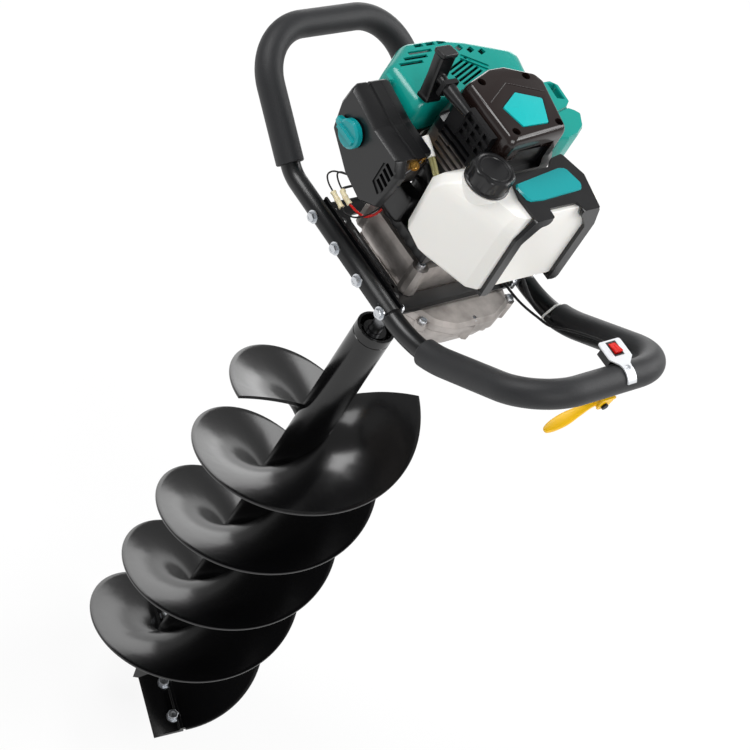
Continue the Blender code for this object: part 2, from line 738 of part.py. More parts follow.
def starter_cover():
    """The recoil starter's top cover: a stepped dome with a five-sided recess for its badge plate."""
    outline = rounded(COVER_OUTLINE, 0.006, 2)
    form = fresh()
    loft(form, [(outline, STARTER_SKIRT), (outline, 0.2330), (scaled(outline, 0.95), 0.2400),
                (scaled(outline, 0.90), STARTER_TOP)])
    cover = add("starter_cover", mesh_of("starter_cover", form), BROWN_PLASTIC)
    room = fresh()
    slab(room, scaled(outline, 0.90), STARTER_SKIRT - 0.01, 0.2370)
    boolean(cover, tool("cover_room", room))
    post = fresh()
    rod(post, (0, 0, 0.2090), (0, 0, 0.2385), 0.0042, sides=16)
    boolean(cover, tool("pulley_post", post), "UNION")
    holes = fresh()
    for x, y in COVER_SCREWS:
        rod(holes, (x, y, 0.2340), (x, y, 0.2500), 0.0052, sides=12)
    slab(holes, scaled(BADGE_OUTLINE, 1.03), 0.2400, 0.2500)
    rod(holes, Vector(GUIDE_AT) - PULL * 0.030, Vector(GUIDE_AT) + PULL * 0.030, 0.0026, sides=10)
    boolean(cover, tool("cover_recesses", holes))
    return cover


BADGE_OUTLINE = rounded([(0.001, -0.031), (0.030, -0.023), (0.031, 0.014), (-0.002, 0.030),
                         (-0.016, -0.001)], 0.002, 2)
starter_cover()


def starter_badge():
    """The plain teal plate in the cover's recess, raised to low facets."""
    form = fresh()
    loft(form, [(scaled(BADGE_OUTLINE, 0.99), 0.2403), (scaled(BADGE_OUTLINE, 0.98), 0.2428),
                (scaled(BADGE_OUTLINE, 0.45), 0.2448)])
    return add("starter_badge_plate", mesh_of("starter_badge_plate", form), TEAL)


starter_badge()


# Recoil starter

turned("starter_pulley", [(PULLEY_R, 0.2345), (PULLEY_R, 0.2330), (0.0222, 0.2312), (0.0222, 0.2268),
                          (PULLEY_R, 0.2250), (PULLEY_R, 0.2235), (0.0046, 0.2235), (0.0046, 0.2345)],
       BLACK_PLASTIC, 20)


def recoil_spring():
    """The flat spiral spring that winds the rope back, under the pulley."""
    line = []
    for k in range(49):
        angle = k * math.tau / 16
        radius = 0.0080 + 0.0045 * angle / math.tau
        line.append((radius * math.cos(angle), radius * math.sin(angle)))
    form = fresh()
    half = 0.00035
    outer = [((math.hypot(x, y) + half) * x / math.hypot(x, y),
              (math.hypot(x, y) + half) * y / math.hypot(x, y)) for x, y in line]
    inner = [((math.hypot(x, y) - half) * x / math.hypot(x, y),
              (math.hypot(x, y) - half) * y / math.hypot(x, y)) for x, y in line]
    slab(form, outer + inner[::-1], 0.2140, 0.2225)
    return add("recoil_spring", mesh_of("recoil_spring", form), STEEL)


recoil_spring()


def starter_handle():
    """The moulded T handle: an upright bar with waisted sides and a short neck to the rope."""
    form = fresh()
    grip_line = [(-0.0383, 0.0075), (-0.0350, 0.0095), (-0.0150, 0.0078), (0.0000, 0.0088),
                 (0.0150, 0.0078), (0.0350, 0.0095), (0.0383, 0.0075)]
    section = circle(1.0, 12)
    loft(form, [([(x * r, y * r * 1.25) for x, y in section], z) for z, r in grip_line])
    turn = (0, 0, math.degrees(math.atan2(PULL.y, PULL.x)))
    handle = add("starter_handle", mesh_of("starter_handle", form), BLACK_PLASTIC, HANDLE_AT, turn)
    neck = fresh()
    rod(neck, (-0.0020, 0, 0), (-0.0130, 0, 0), 0.0075, 0.0060, 12)
    boolean(handle, tool("handle_neck", neck, HANDLE_AT, turn), "UNION")
    bore = fresh()
    rod(bore, (-0.0300, 0, 0), (-0.0040, 0, 0), 0.0022, sides=10)
    boolean(handle, tool("handle_bore", bore, HANDLE_AT, turn))
    return handle


starter_handle()


# Shroud and muffler

def cylinder_shroud():
    """The teal air shroud over the cylinder: a rounded shell, slotted for the cooling air."""
    plan = rounded([(-0.122, -0.0770), (-0.058, -0.0770), (-0.061, -0.050), (-0.0605, 0.060), (-0.061, 0.062),
                    (-0.070, 0.104), (-0.112, 0.112), (-0.140, 0.050), (-0.150, 0.010), (-0.150, -0.035)],
                   0.014, 2)
    middle = (-0.095, 0.0)
    form = fresh()
    loft(form, [(plan, 0.1475), (plan, 0.1720), (scaled(plan, 0.96, middle), 0.1840),
                (scaled(plan, 0.86, middle), 0.1900)])
    shroud = add("cylinder_shroud", mesh_of("cylinder_shroud", form), TEAL)
    room = fresh()
    loft(room, [(scaled(plan, (0.93, 0.965), middle), 0.1400), (scaled(plan, (0.93, 0.965), middle), 0.1710),
                (scaled(plan, (0.89, 0.93), middle), 0.1815), (scaled(plan, (0.80, 0.84), middle), 0.1870)])
    boolean(shroud, tool("shroud_room", room))
    slots = fresh()
    for k in range(5):
        block(slots, (0.0260, 0.0045, 0.030), (-0.1250, -0.030 + 0.020 * k, 0.1850),
              Matrix.Rotation(math.radians(18), 4, "Z"))
    for k in range(5):
        block(slots, (0.0045, 0.0260, 0.030), (-0.1030 + 0.0090 * k, -0.060, 0.1900))
    for k in range(4):
        block(slots, (0.0220, 0.0045, 0.030), (-0.0880, -0.024 + 0.014 * k, 0.1900))
    boolean(shroud, tool("shroud_slots", slots))
    return shroud


cylinder_shroud()


def muffler():
    """The pressed steel silencer on the far side of the cylinder."""
    form = fresh()
    slab(form, rounded(rectangle(-0.100, -0.050, 0.088, 0.142), 0.010, 2), -0.0860, -0.0500)
    can = add("muffler", mesh_of("muffler", form), STEEL, (0, 0, 0), (90, 0, 0))
    bevel(can, 0.003)
    pipe = fresh()
    rod(pipe, (-0.075, 0.0700, 0.1000), (-0.075, 0.0980, 0.0960), 0.0070, sides=10)
    boolean(can, tool("tail_pipe", pipe), "UNION")
    return can


muffler()


def muffler_cover():
    """The teal hot-air duct on the far side, with its open slots and square outlet."""
    form = fresh()
    plan = rounded([(-0.0575, 0.0640), (0.040, 0.0640), (0.042, 0.0840), (0.018, 0.113), (0.000, 0.116),
                    (-0.009, 0.104), (-0.022, 0.111), (-0.0575, 0.107)], 0.004, 1)
    loft(form, [(plan, 0.1620), (plan, 0.1940), (scaled(plan, 0.93), 0.1990)])
    cover = add("muffler_cover", mesh_of("muffler_cover", form), TEAL)
    slots = fresh()
    for k in range(3):
        block(slots, (0.0055, 0.026, 0.060), (-0.048 + 0.012 * k, 0.096, 0.2000))
    block(slots, (0.088, 0.036, 0.060), (-0.009, 0.084, 0.1650))
    boolean(cover, tool("muffler_cover_slots", slots))
    return cover


muffler_cover()

# Air filter and carburettor

FILTER_FRONT = [(-0.103, 0.127), (-0.056, 0.100), (-0.021, 0.092), (-0.001, 0.104), (0.004, 0.132),
                (0.007, 0.158), (-0.003, 0.176), (-0.050, 0.177), (-0.107, 0.187), (-0.110, 0.160)]
FILTER_BACK_Y = -0.0860
FILTER_FRONT_Y = -0.1380


def filter_cover():
    """The filter's front cover: a shell with a chamfered band and a ribbed intake in its corner."""
    outline = rounded(FILTER_FRONT, 0.004, 1)
    depth = FILTER_BACK_Y - FILTER_FRONT_Y
    form = fresh()
    loft(form, [(outline, 0.0123), (outline, depth - 0.010), (scaled(outline, 0.95), depth - 0.003),
                (scaled(outline, 0.90), depth)])
    cover = add("filter_cover", mesh_of("filter_cover", form), BLACK_PLASTIC, (0, FILTER_BACK_Y, 0), (90, 0, 0))
    room = fresh()
    slab(room, scaled(outline, 0.90), 0.0, depth - 0.004)
    boolean(cover, tool("filter_room", room, (0, FILTER_BACK_Y, 0), (90, 0, 0)))
    grille = fresh()
    for k in range(4):
        block(grille, (0.022, 0.0045, 0.030), (-0.013, 0.112 + 0.009 * k, depth + 0.002),
              Matrix.Rotation(math.radians(-20), 4, "Z"))
    rod(grille, (-0.071, 0.148, depth - 0.020), (-0.071, 0.148, depth + 0.010), 0.0045, sides=12)
    boolean(cover, tool("filter_grille", grille, (0, FILTER_BACK_Y, 0), (90, 0, 0)))
    return cover


def filter_base():
    """The back plate that the cover closes on, with the air passage to the carburettor."""
    outline = rounded(FILTER_FRONT, 0.004, 1)
    form = fresh()
    loft(form, [(scaled(outline, 0.96), 0.0), (scaled(outline, 1.01), 0.0040), (scaled(outline, 1.01), 0.0120)])
    base = add("filter_base", mesh_of("filter_base", form), BLACK_PLASTIC, (0, FILTER_BACK_Y, 0), (90, 0, 0))
    passage = fresh()
    rod(passage, (-0.045, -0.120, 0.120), (-0.045, -0.060, 0.120), 0.0100, sides=12)
    boolean(base, tool("air_passage", passage))
    stud = fresh()
    rod(stud, (-0.071, -0.0860, 0.148), (-0.071, -0.1395, 0.148), 0.0036, sides=12)
    boolean(base, tool("knob_stud", stud), "UNION")
    return base


def filter_element():
    """The foam element between the two, with the stud's hole."""
    form = fresh()
    slab(form, scaled(rounded(FILTER_FRONT, 0.004, 1), 0.82), 0.0130, 0.0300)
    foam = add("filter_element", mesh_of("filter_element", form), FOAM, (0, FILTER_BACK_Y, 0), (90, 0, 0))
    hole = fresh()
    rod(hole, (-0.071, -0.2, 0.148), (-0.071, -0.05, 0.148), 0.0060, sides=12)
    boolean(foam, tool("element_hole", hole))
    return foam


filter_cover()
filter_base()
filter_element()


def filter_knob():
    """The round teal knob with a pointer tab, which turns to free the cover."""
    form = fresh()
    outline = [(0.0165 * math.cos(math.radians(a)), 0.0165 * math.sin(math.radians(a)))
               for a in range(-160, 161, 16)]
    outline += [(-0.0235, 0.0030), (-0.0235, -0.0030)]
    loft(form, [(outline, 0.0), (outline, 0.0060), (scaled(outline, 0.86, (0, 0)), 0.0080)])
    knob = add("filter_knob", mesh_of("filter_knob", form), TEAL, (-0.071, FILTER_FRONT_Y - 0.0020, 0.148),
               (90, 0, 0))
    web = fresh()
    block(web, (0.0280, 0.0050, 0.0060), (0, 0, 0.0090))
    boolean(knob, tool("knob_web", web, knob.location, (90, 0, 0)), "UNION")
    return knob


filter_knob()


def carburettor():
    """The diaphragm carburettor between the filter and the engine."""
    form = fresh()
    block(form, (0.034, 0.0265, 0.028), (-0.045, -0.0720, 0.1160))
    body = add("carburettor", mesh_of("carburettor", form), CAST)
    lumps = fresh()
    rod(lumps, (-0.045, -0.0700, 0.1250), (-0.045, -0.0700, 0.1370), 0.0110, 0.0100, 12)
    rod(lumps, (-0.045, -0.0700, 0.1050), (-0.045, -0.0700, 0.0960), 0.0120, sides=12)
    rod(lumps, (-0.045, -0.0620, 0.1200), (-0.045, -0.0480, 0.1200), 0.0120, sides=12)
    boolean(body, tool("carburettor_lumps", lumps), "UNION")
    bore = fresh()
    rod(bore, (-0.045, -0.0900, 0.1200), (-0.045, -0.0400, 0.1200), 0.0070, sides=12)
    boolean(body, tool("carburettor_bore", bore))
    return body


carburettor()


def throttle_barrel():
    """The brass arm and barrel on the carburettor, which the cable turns."""
    form = fresh()
    rod(form, (0, 0, 0.0003), (0, 0, 0.0060), 0.0075, sides=14)
    barrel = add("throttle_arm", mesh_of("throttle_arm", form), BRASS, (-0.045, -0.070, 0.1370))
    arm = fresh()
    block(arm, (0.022, 0.006, 0.0020), (0.012, 0, 0.0040))
    rod(arm, (0.0200, 0, 0.0020), (0.0200, 0, 0.0085), 0.0036, sides=10)
    boolean(barrel, tool("throttle_arm_lever", arm, barrel.location), "UNION")
    return barrel


throttle_barrel()

def choke_lever():
    """The small teal choke lever in the gap between the filter and the shroud."""
    form = fresh()
    rod(form, (0, -0.0015, 0), (0, 0.0015, 0), 0.0050, sides=12)
    lever = add("choke_lever", mesh_of("choke_lever", form), TEAL, (-0.1080, -0.0820, 0.1610))
    stem = fresh()
    block(stem, (0.0030, 0.0030, 0.0210), (0, 0, 0.0115))
    block(stem, (0.0090, 0.0050, 0.0030), (0, 0, 0.0230))
    rod(stem, (0, 0, 0), (0, -0.0036, 0), 0.0020, sides=8)
    boolean(lever, tool("choke_stem", stem, lever.location), "UNION")
    return lever


choke_lever()

# Fuel tank

CAP_AT = (0.058, -0.071)
TANK_X = 0.117


def tank_sections(inset):
    """The tank's outline at several heights. Its near end is a slanted face, chamfered at its left edge."""
    sections = []
    for z, left, shrink in ((0.0855, 0.0400, 0.0030), (0.0890, 0.0360, 0.0), (0.1010, 0.0225, 0.0),
                            (0.1660, 0.0215, 0.0), (0.1920, 0.0320, 0.0), (0.1965, 0.0360, 0.0040)):
        edge = inset + shrink
        height = min(max(z, 0.0855 + inset), 0.1965 - inset)
        near = [-0.102 + (0.426 * (x - 0.039) + 0.149 * (z - 0.085)) / 0.892 + edge
                for x in (left + edge, 0.1100)]
        corners = [(left + edge, -0.0630 - inset), (left + edge, near[0]), (0.1100, near[1]),
                   (TANK_X - edge, near[1] + 0.0080), (TANK_X - edge, 0.0570 - edge),
                   (0.1100 - edge, 0.0640 - edge), (0.0680 + inset, 0.0640 - edge),
                   (0.0620 + inset, 0.0580 - edge), (0.0620 + inset, -0.0630 - inset)]
        sections.append((rounded(corners, 0.0050, 1), height))
    return sections


def fuel_tank():
    """The translucent tank in front of the engine, hollow, with its filler neck."""
    form = fresh()
    loft(form, tank_sections(0.0))
    tank = add("fuel_tank", mesh_of("fuel_tank", form), TANK_WHITE)
    neck = fresh()
    rod(neck, (*CAP_AT, 0.1700), (*CAP_AT, 0.2120), 0.0225, 0.0200, 18)
    boolean(tank, tool("tank_neck", neck), "UNION")
    room = fresh()
    loft(room, tank_sections(0.0026))
    boolean(tank, tool("tank_room", room))
    mouth = fresh()
    rod(mouth, (*CAP_AT, 0.1730), (*CAP_AT, 0.2200), 0.0165, sides=18)
    boolean(tank, tool("tank_mouth", mouth))
    return tank


fuel_tank()


def fuel_cap():
    """The screw cap with eight finger lobes round a plain top."""
    form = fresh()
    outline = []
    for k in range(32):
        angle = math.tau * k / 32
        radius = 0.0278 + 0.0016 * math.cos(8 * angle)
        outline.append((radius * math.cos(angle), radius * math.sin(angle)))
    loft(form, [(outline, 0.0), (outline, 0.0210), (scaled(outline, 0.93, (0, 0)), 0.0235)])
    cap = add("fuel_cap", mesh_of("fuel_cap", form), BLACK_PLASTIC, (*CAP_AT, 0.1980))
    inside = fresh()
    rod(inside, (0, 0, -0.01), (0, 0, 0.0190), 0.0222, sides=18)
    boolean(cap, tool("cap_inside", inside, cap.location))
    return cap


fuel_cap()


def tank_guard():
    """The black guard: a top plate in front of the starter and two straps down and under the tank."""
    form = fresh()
    top = rounded([(0.0880, -0.0470), (0.1220, -0.0460), (0.1220, -0.0200), (0.1090, -0.0190),
                   (0.1090, 0.0240), (0.1220, 0.0260), (0.1220, 0.0480), (0.0760, 0.0600), (0.0440, 0.0500),
                   (0.0470, 0.0320), (0.0575, 0.0200), (0.0575, -0.0380)], 0.003, 1)
    slab(form, top, 0.1972, 0.2005)
    guard = add("tank_guard", mesh_of("tank_guard", form), BLACK_PLASTIC)
    for name, side, start, mid, foot in (("near", -1, 0.0460, 0.0600, 0.0570), ("far", 1, 0.0480, 0.0580, 0.0600)):
        strap = fresh()
        outer = [(side * start, 0.2005), (side * mid, 0.1720), (side * foot, 0.0805)]
        inner = [(y - side * w, z) for (y, z), w in zip(outer, (0.0240, 0.0215, 0.0210))]
        slab(strap, outer + inner[::-1], TANK_X + GAP, 0.1220)
        for vert in strap.verts:
            vert.co = Vector((vert.co.z, vert.co.x, vert.co.y))
        boolean(guard, tool("guard_strap_" + name, strap), "UNION")
        under = fresh()
        block(under, (0.0340, 0.0200, 0.0036), (0.1045, side * (foot - 0.0105), 0.0823))
        boolean(guard, tool("guard_foot_" + name, under), "UNION")
    return guard


tank_guard()


def guard_inlay():
    """The teal strip on the guard's top."""
    form = fresh()
    plan = rounded([(0.0720, -0.0440), (0.0960, -0.0400), (0.0980, -0.0200), (0.0950, 0.0400), (0.0880, 0.0460),
                    (0.0640, 0.0400), (0.0620, 0.0300)], 0.004, 1)
    loft(form, [(plan, 0.2008), (scaled(plan, 0.96), 0.2024)])
    return add("guard_inlay", mesh_of("guard_inlay", form), TEAL)


guard_inlay()


def starter_rope():
    """The rope from the pulley's groove through the guide to the handle, with the starter wound in."""
    guide = Vector(GUIDE_AT)
    line = [guide - PULL * 0.0660, guide - PULL * 0.0200, guide, Vector(HANDLE_AT) - PULL * 0.0045]
    return wire("starter_rope", line, 0.0017, FOAM, 2)


starter_rope()


def fuel_lines():
    """The clear fuel pipe from the tank up to the primer at the filter's corner."""
    return wire("fuel_line", smooth_line([(0.0210, -0.0760, 0.1500), (0.0100, -0.0760, 0.1510),
                                          (-0.0100, -0.0740, 0.1570), (-0.0350, -0.0735, 0.1680)], 7),
                0.0036, FUEL_TUBE, 2)


fuel_lines()

# Controls on the right-hand handle

BAR_X = RIGHT["bend_x"] + RIGHT["leg"] * math.cos(math.radians(RIGHT["rise"]))
BAR_Z = RIGHT["leg"] * math.sin(math.radians(RIGHT["rise"]))


def switch_plate():
    """The bent steel plate that straps the stop switch to the bar."""
    form = fresh()
    top = BAR_Z + GRIP_R + 0.0006
    outline = rounded([(BAR_X - 0.038, 0.003), (BAR_X - 0.014, 0.003), (BAR_X - 0.006, 0.010),
                       (BAR_X + 0.010, 0.011), (BAR_X + 0.010, 0.027), (BAR_X - 0.004, 0.030),
                       (BAR_X - 0.013, 0.036), (BAR_X - 0.038, 0.036)], 0.003, 2)
    slab(form, outline, top, top + 0.0016)
    plate = add("switch_plate", mesh_of("switch_plate", form), SILVER)
    tongue = fresh()
    section = []
    for k in range(7):
        angle = math.radians(90 - 22 * k)
        section.append((angle, GRIP_R + 0.0006))
    line = [(BAR_X + (GRIP_R + 0.0006) * math.cos(a), BAR_Z + (GRIP_R + 0.0006) * math.sin(a)) for a, _ in section]
    over = [(BAR_X + (GRIP_R + 0.0006 + 0.0016) * math.cos(a), BAR_Z + (GRIP_R + 0.0006 + 0.0016) * math.sin(a))
            for a, _ in section]
    outline = [(x, z) for x, z in line] + [(x, z) for x, z in over[::-1]]
    slab(tongue, outline, -0.0250, -0.0130)
    boolean(plate, tool("switch_tongue", tongue, (0, 0, 0), (90, 0, 0)), "UNION")
    window = fresh()
    block(window, (0.0190, 0.0150, 0.02), (BAR_X - 0.0260, 0.0195, top))
    boolean(plate, tool("switch_window", window))
    return plate


def switch_body():
    """The switch's black body under the plate, with its bezel round the rocker."""
    top = BAR_Z + GRIP_R + 0.0006
    form = fresh()
    block(form, (0.0184, 0.0144, 0.0200), (BAR_X - 0.0260, 0.0195, top - 0.0080))
    body = add("switch_body", mesh_of("switch_body", form), BLACK_PLASTIC)
    pocket = fresh()
    block(pocket, (0.0150, 0.0110, 0.0100), (BAR_X - 0.0260, 0.0195, top + 0.0010))
    boolean(body, tool("switch_pocket", pocket))
    return body


def switch_rocker():
    """The red rocker, pivoting across its middle."""
    top = BAR_Z + GRIP_R + 0.0006
    form = fresh()
    half = 0.0050
    outline = [(-0.0068, 0.0015), (0.0, 0.0034), (0.0068, 0.0050), (0.0060, -0.0012), (0.0, -0.0030),
               (-0.0060, -0.0012)]
    slab(form, outline, -half, half)
    return add("switch_rocker", mesh_of("switch_rocker", form), RED,
               (BAR_X - 0.0260, 0.0195, top + 0.0005), (90, 0, 0))


switch_plate()
switch_body()
switch_rocker()

LEVER_PIVOT = (BAR_X + 0.0040, 0.0030, BAR_Z - GRIP_R - 0.0110)


def lever_bracket():
    """The yellow clamp under the bar that carries the lever's pivot."""
    form = fresh()
    x, y, z = LEVER_PIVOT
    block(form, (0.0210, 0.0200, 0.0030), (x - 0.0020, y + 0.0020, BAR_Z - GRIP_R - 0.0019))
    bracket = add("lever_bracket", mesh_of("lever_bracket", form), YELLOW)
    ears = fresh()
    for side in (-1, 1):
        slab(ears, rounded([(y - 0.0080, z - 0.0060), (y + 0.0080, z - 0.0060), (y + 0.0120, z + 0.0085),
                            (y - 0.0080, z + 0.0085)], 0.003, 2), x + side * 0.0068 - 0.0012,
             x + side * 0.0068 + 0.0012)
    for vert in ears.verts:
        vert.co = Vector((vert.co.z, vert.co.x, vert.co.y))
    boolean(bracket, tool("bracket_ears", ears), "UNION")
    hole = fresh()
    rod(hole, (x - 0.02, y, z), (x + 0.02, y, z), 0.0026, sides=12)
    boolean(bracket, tool("bracket_hole", hole))
    return bracket


def lever_pivot_screw():
    """The screw that the lever pivots on."""
    x, y, z = LEVER_PIVOT
    form = fresh()
    rod(form, (x - 0.0095, y, z), (x + 0.0100, y, z), 0.0022, sides=12)
    screw = add("lever_pivot_screw", mesh_of("lever_pivot_screw", form), ZINC)
    head = fresh()
    rod(head, (x + 0.0084, y, z), (x + 0.0110, y, z), 0.0042, sides=12)
    boolean(screw, tool("pivot_screw_head", head), "UNION")
    return screw


def throttle_lever():
    """The curved yellow lever under the grip, squeezed up towards the bar."""
    x, y, z = LEVER_PIVOT
    line = [(0.0070, 0.0010), (0.0000, -0.0005), (-0.0200, -0.0085), (-0.0400, -0.0165), (-0.0600, -0.0240),
            (-0.0780, -0.0290)]
    thick = [0.0058, 0.0062, 0.0040, 0.0036, 0.0036, 0.0030]
    upper = [(a, b + t) for (a, b), t in zip(line, thick)]
    lower = [(a, b - t) for (a, b), t in zip(line, thick)]
    form = fresh()
    slab(form, rounded(upper + lower[::-1], 0.003, 1), -0.0050, 0.0050)
    for vert in form.verts:
        vert.co = Vector((vert.co.z, vert.co.x, vert.co.y))
    lever = add("throttle_lever", mesh_of("throttle_lever", form), YELLOW, LEVER_PIVOT)
    hole = fresh()
    rod(hole, (-0.02, 0, 0), (0.02, 0, 0), 0.0026, sides=12)
    boolean(lever, tool("lever_hole", hole, LEVER_PIVOT))
    return lever


lever_bracket()
lever_pivot_screw()
throttle_lever()


def throttle_cable():
    """The sheathed throttle cable, from the lever down the far leg, under the tank to the carburettor."""
    z = BAR_Z
    route = [(BAR_X - 0.0010, 0.0200, z - 0.0250), (BAR_X - 0.0160, 0.0350, z - 0.0240),
             (BAR_X - 0.0300, 0.0560, z - 0.0210), (BAR_X - 0.0620, 0.0800, z - 0.0450),
             (BAR_X - 0.1000, 0.0825, z - 0.0740), (0.1460, 0.0825, 0.0150), (0.1265, 0.0850, 0.0091), (0.1000, 0.0850, 0.0070),
             (0.0720, 0.0780, 0.0260), (0.0560, 0.0560, 0.0620), (0.0550, 0.0, 0.0700),
             (0.0530, -0.0440, 0.0740), (0.0360, -0.0570, 0.0860), (0.0080, -0.0575, 0.1060),
             (-0.0060, -0.0620, 0.1250), (-0.0178, -0.0690, 0.1420)]
    return wire("throttle_cable", smooth_line(route, 38), 0.0026, RUBBER, 1)


throttle_cable()


def cable_tie():
    """The white tie that straps the cable to the far tube below the grip."""
    def loop(margin):
        big = [(math.radians(a), 0.0) for a in range(-20, 201, 22)]
        line = [((0.0124 + margin) * math.cos(a), (0.0124 + margin) * math.sin(a)) for a, _ in big]
        small = [math.radians(a) for a in range(205, 336, 26)]
        return line + [((0.0034 + margin) * math.cos(a), -0.0178 + (0.0034 + margin) * math.sin(a)) for a in small]
    form = fresh()
    inner, outer = loop(0.0), loop(0.0012)
    rings = [[form.verts.new((x, y, z)) for x, y in line]
             for line, z in ((outer, -0.0014), (outer, 0.0014), (inner, 0.0014), (inner, -0.0014))]
    for low, high in zip(rings, rings[1:] + rings[:1]):
        for i in range(len(low)):
            j = (i + 1) % len(low)
            form.faces.new((low[i], low[j], high[j], high[i]))
    return add("cable_tie", mesh_of("cable_tie", form), TANK_WHITE, (0.1265, TUBE_Y, 0.0091), (0, 70, 0))


cable_tie()


def stop_switch_lead():
    """The stop switch's lead: down the far leg, along the deck and up to the coil behind the filter."""
    top = BAR_Z
    route = [(BAR_X - 0.0260, 0.0260, top - 0.0080), (BAR_X - 0.0300, 0.0480, top - 0.0120),
             (BAR_X - 0.0640, 0.0730, top - 0.0360), (BAR_X - 0.1040, 0.0760, top - 0.0660),
             (0.1450, 0.0765, 0.0170), (0.1260, 0.0775, 0.0080), (0.0900, 0.0740, 0.0010), (0.0400, 0.0730, 0.0010),
             (-0.0600, 0.0730, 0.0010), (-0.0960, 0.0640, 0.0060), (-0.0980, 0.0, 0.0100),
             (-0.0960, -0.0600, 0.0160), (-0.0840, -0.0800, 0.0260), (-0.0640, -0.0800, 0.0240),
             (-0.0480, -0.0740, 0.0240), (-0.0400, -0.0690, 0.0340), (-0.0380, -0.0640, 0.0460)]
    return wire("stop_switch_lead", smooth_line(route, 34), 0.0015, RED, 1)


stop_switch_lead()

# Drill

SOCKET_Z = (-0.1410, -0.2050)
PIN_Z = -0.1750


def drill_tube():
    """The drill's tube, with the bored hub welded inside its top on two rings."""
    tube = turned("drill_tube", [(DRILL_R, DRILL_TOP), (DRILL_R, DRILL_BOTTOM),
                                 (DRILL_R - DRILL_WALL, DRILL_BOTTOM), (DRILL_R - DRILL_WALL, DRILL_TOP)],
                  BLACK_ENAMEL, 20)
    hub = fresh()
    sleeve(hub, [(0.0145, SOCKET_Z[0]), (0.0145, -0.1590), (0.0210, -0.1590), (0.0210, -0.1640),
                 (0.0145, -0.1640), (0.0145, -0.1960), (0.0210, -0.1960), (0.0210, SOCKET_Z[1]),
                 (0.0086, SOCKET_Z[1]), (0.0086, SOCKET_Z[0])], 16)
    boolean(tube, tool("socket_hub", hub), "UNION")
    hole = fresh()
    rod(hole, (-0.0180, 0, PIN_Z), (0.0180, 0, PIN_Z), 0.0035, sides=12)
    boolean(tube, tool("socket_pin_hole", hole))
    return tube


def drive_pin():
    """The roll pin through the hub and the shaft."""
    form = fresh()
    rod(form, (-0.0142, 0, PIN_Z), (0.0142, 0, PIN_Z), 0.0031, sides=12)
    return add("drive_pin", mesh_of("drive_pin", form), STEEL)


def drill_shaft_hole():
    """The pin's hole through the output shaft."""
    hole = fresh()
    rod(hole, (-0.03, 0, PIN_Z), (0.03, 0, PIN_Z), 0.0035, sides=12)
    boolean(bpy.data.objects["output_shaft"], tool("shaft_pin_hole", hole))


drill_tube()
drive_pin()
drill_shaft_hole()

FLIGHT_TURN = (FLIGHT_TOP - FLIGHT_BOTTOM) / FLIGHT_LEAD * 360.0
FLIGHT_STEPS = 46


def blade_frame(angle):
    """The cutting edge's frame: X outwards along the flight's end, Y ahead of it, tilted down."""
    spin = Matrix.Rotation(math.radians(angle), 4, "Z")
    lean = Matrix.Rotation(math.radians(BLADE_TILT), 4, "X")
    return Matrix.Translation((0, 0, FLIGHT_BOTTOM)) @ spin @ lean


def flight(name, top_angle):
    """One right-hand flight with square ends, and the flat seat at its foot for a cutting blade."""
    form = fresh()
    rows = []
    for k in range(FLIGHT_STEPS + 1):
        share = k / FLIGHT_STEPS
        angle = math.radians(top_angle - FLIGHT_TURN * share)
        z = FLIGHT_TOP + (FLIGHT_BOTTOM - FLIGHT_TOP) * share
        rows.append([form.verts.new((r * math.cos(angle), r * math.sin(angle), z))
                     for r in (DRILL_R + 0.0008, 0.070, FLIGHT_R)])
    for a, b in zip(rows, rows[1:]):
        for i in range(2):
            form.faces.new((a[i], a[i + 1], b[i + 1], b[i]))
    spiral = add(name, mesh_of(name, form), BLACK_ENAMEL)
    sheet = spiral.modifiers.new("plate", "SOLIDIFY")
    sheet.thickness = FLIGHT_THICK
    sheet.offset = 0.0
    seat = fresh()
    block(seat, (0.088, 0.0300, 0.0050), (0.0780, -0.0080, -0.0010))
    holder = tool(name + "_seat", seat)
    holder.matrix_world = blade_frame(top_angle - FLIGHT_TURN)
    boolean(spiral, holder, "UNION")
    holes = fresh()
    for x in (0.052, 0.104):
        rod(holes, (x, -0.0120, -0.02), (x, -0.0120, 0.02), 0.0043, sides=12)
    drill = tool(name + "_holes", holes)
    drill.matrix_world = blade_frame(top_angle - FLIGHT_TURN)
    boolean(spiral, drill)
    return spiral


def blade(name, angle):
    """A cutting blade: a flat plate bolted over the seat, ground to an edge in front."""
    form = fresh()
    outline = [(-0.0035, 0.0110), (-0.0075, 0.0110), (-0.0095, 0.0065), (-0.0300, 0.0065),
               (-0.0440, 0.0028), (-0.0440, 0.0018), (-0.0035, 0.0018)]
    slab(form, outline, 0.0330, 0.1270)
    for vert in form.verts:
        vert.co = Vector((vert.co.z, vert.co.x, vert.co.y))
    made = add(name, mesh_of(name, form), BLACK_ENAMEL)
    made.matrix_world = blade_frame(angle)
    holes = fresh()
    for x in (0.052, 0.104):
        rod(holes, (x, -0.0120, -0.02), (x, -0.0120, 0.02), 0.0043, sides=12)
    drill = tool(name + "_holes", holes)
    drill.matrix_world = blade_frame(angle)
    boolean(made, drill)
    return made


flight("flight_first", FLIGHT_TOP_ANGLE)
flight("flight_second", FLIGHT_TOP_ANGLE + 180)
blade("blade_first", FLIGHT_TOP_ANGLE - FLIGHT_TURN)
blade("blade_second", FLIGHT_TOP_ANGLE + 180 - FLIGHT_TURN)


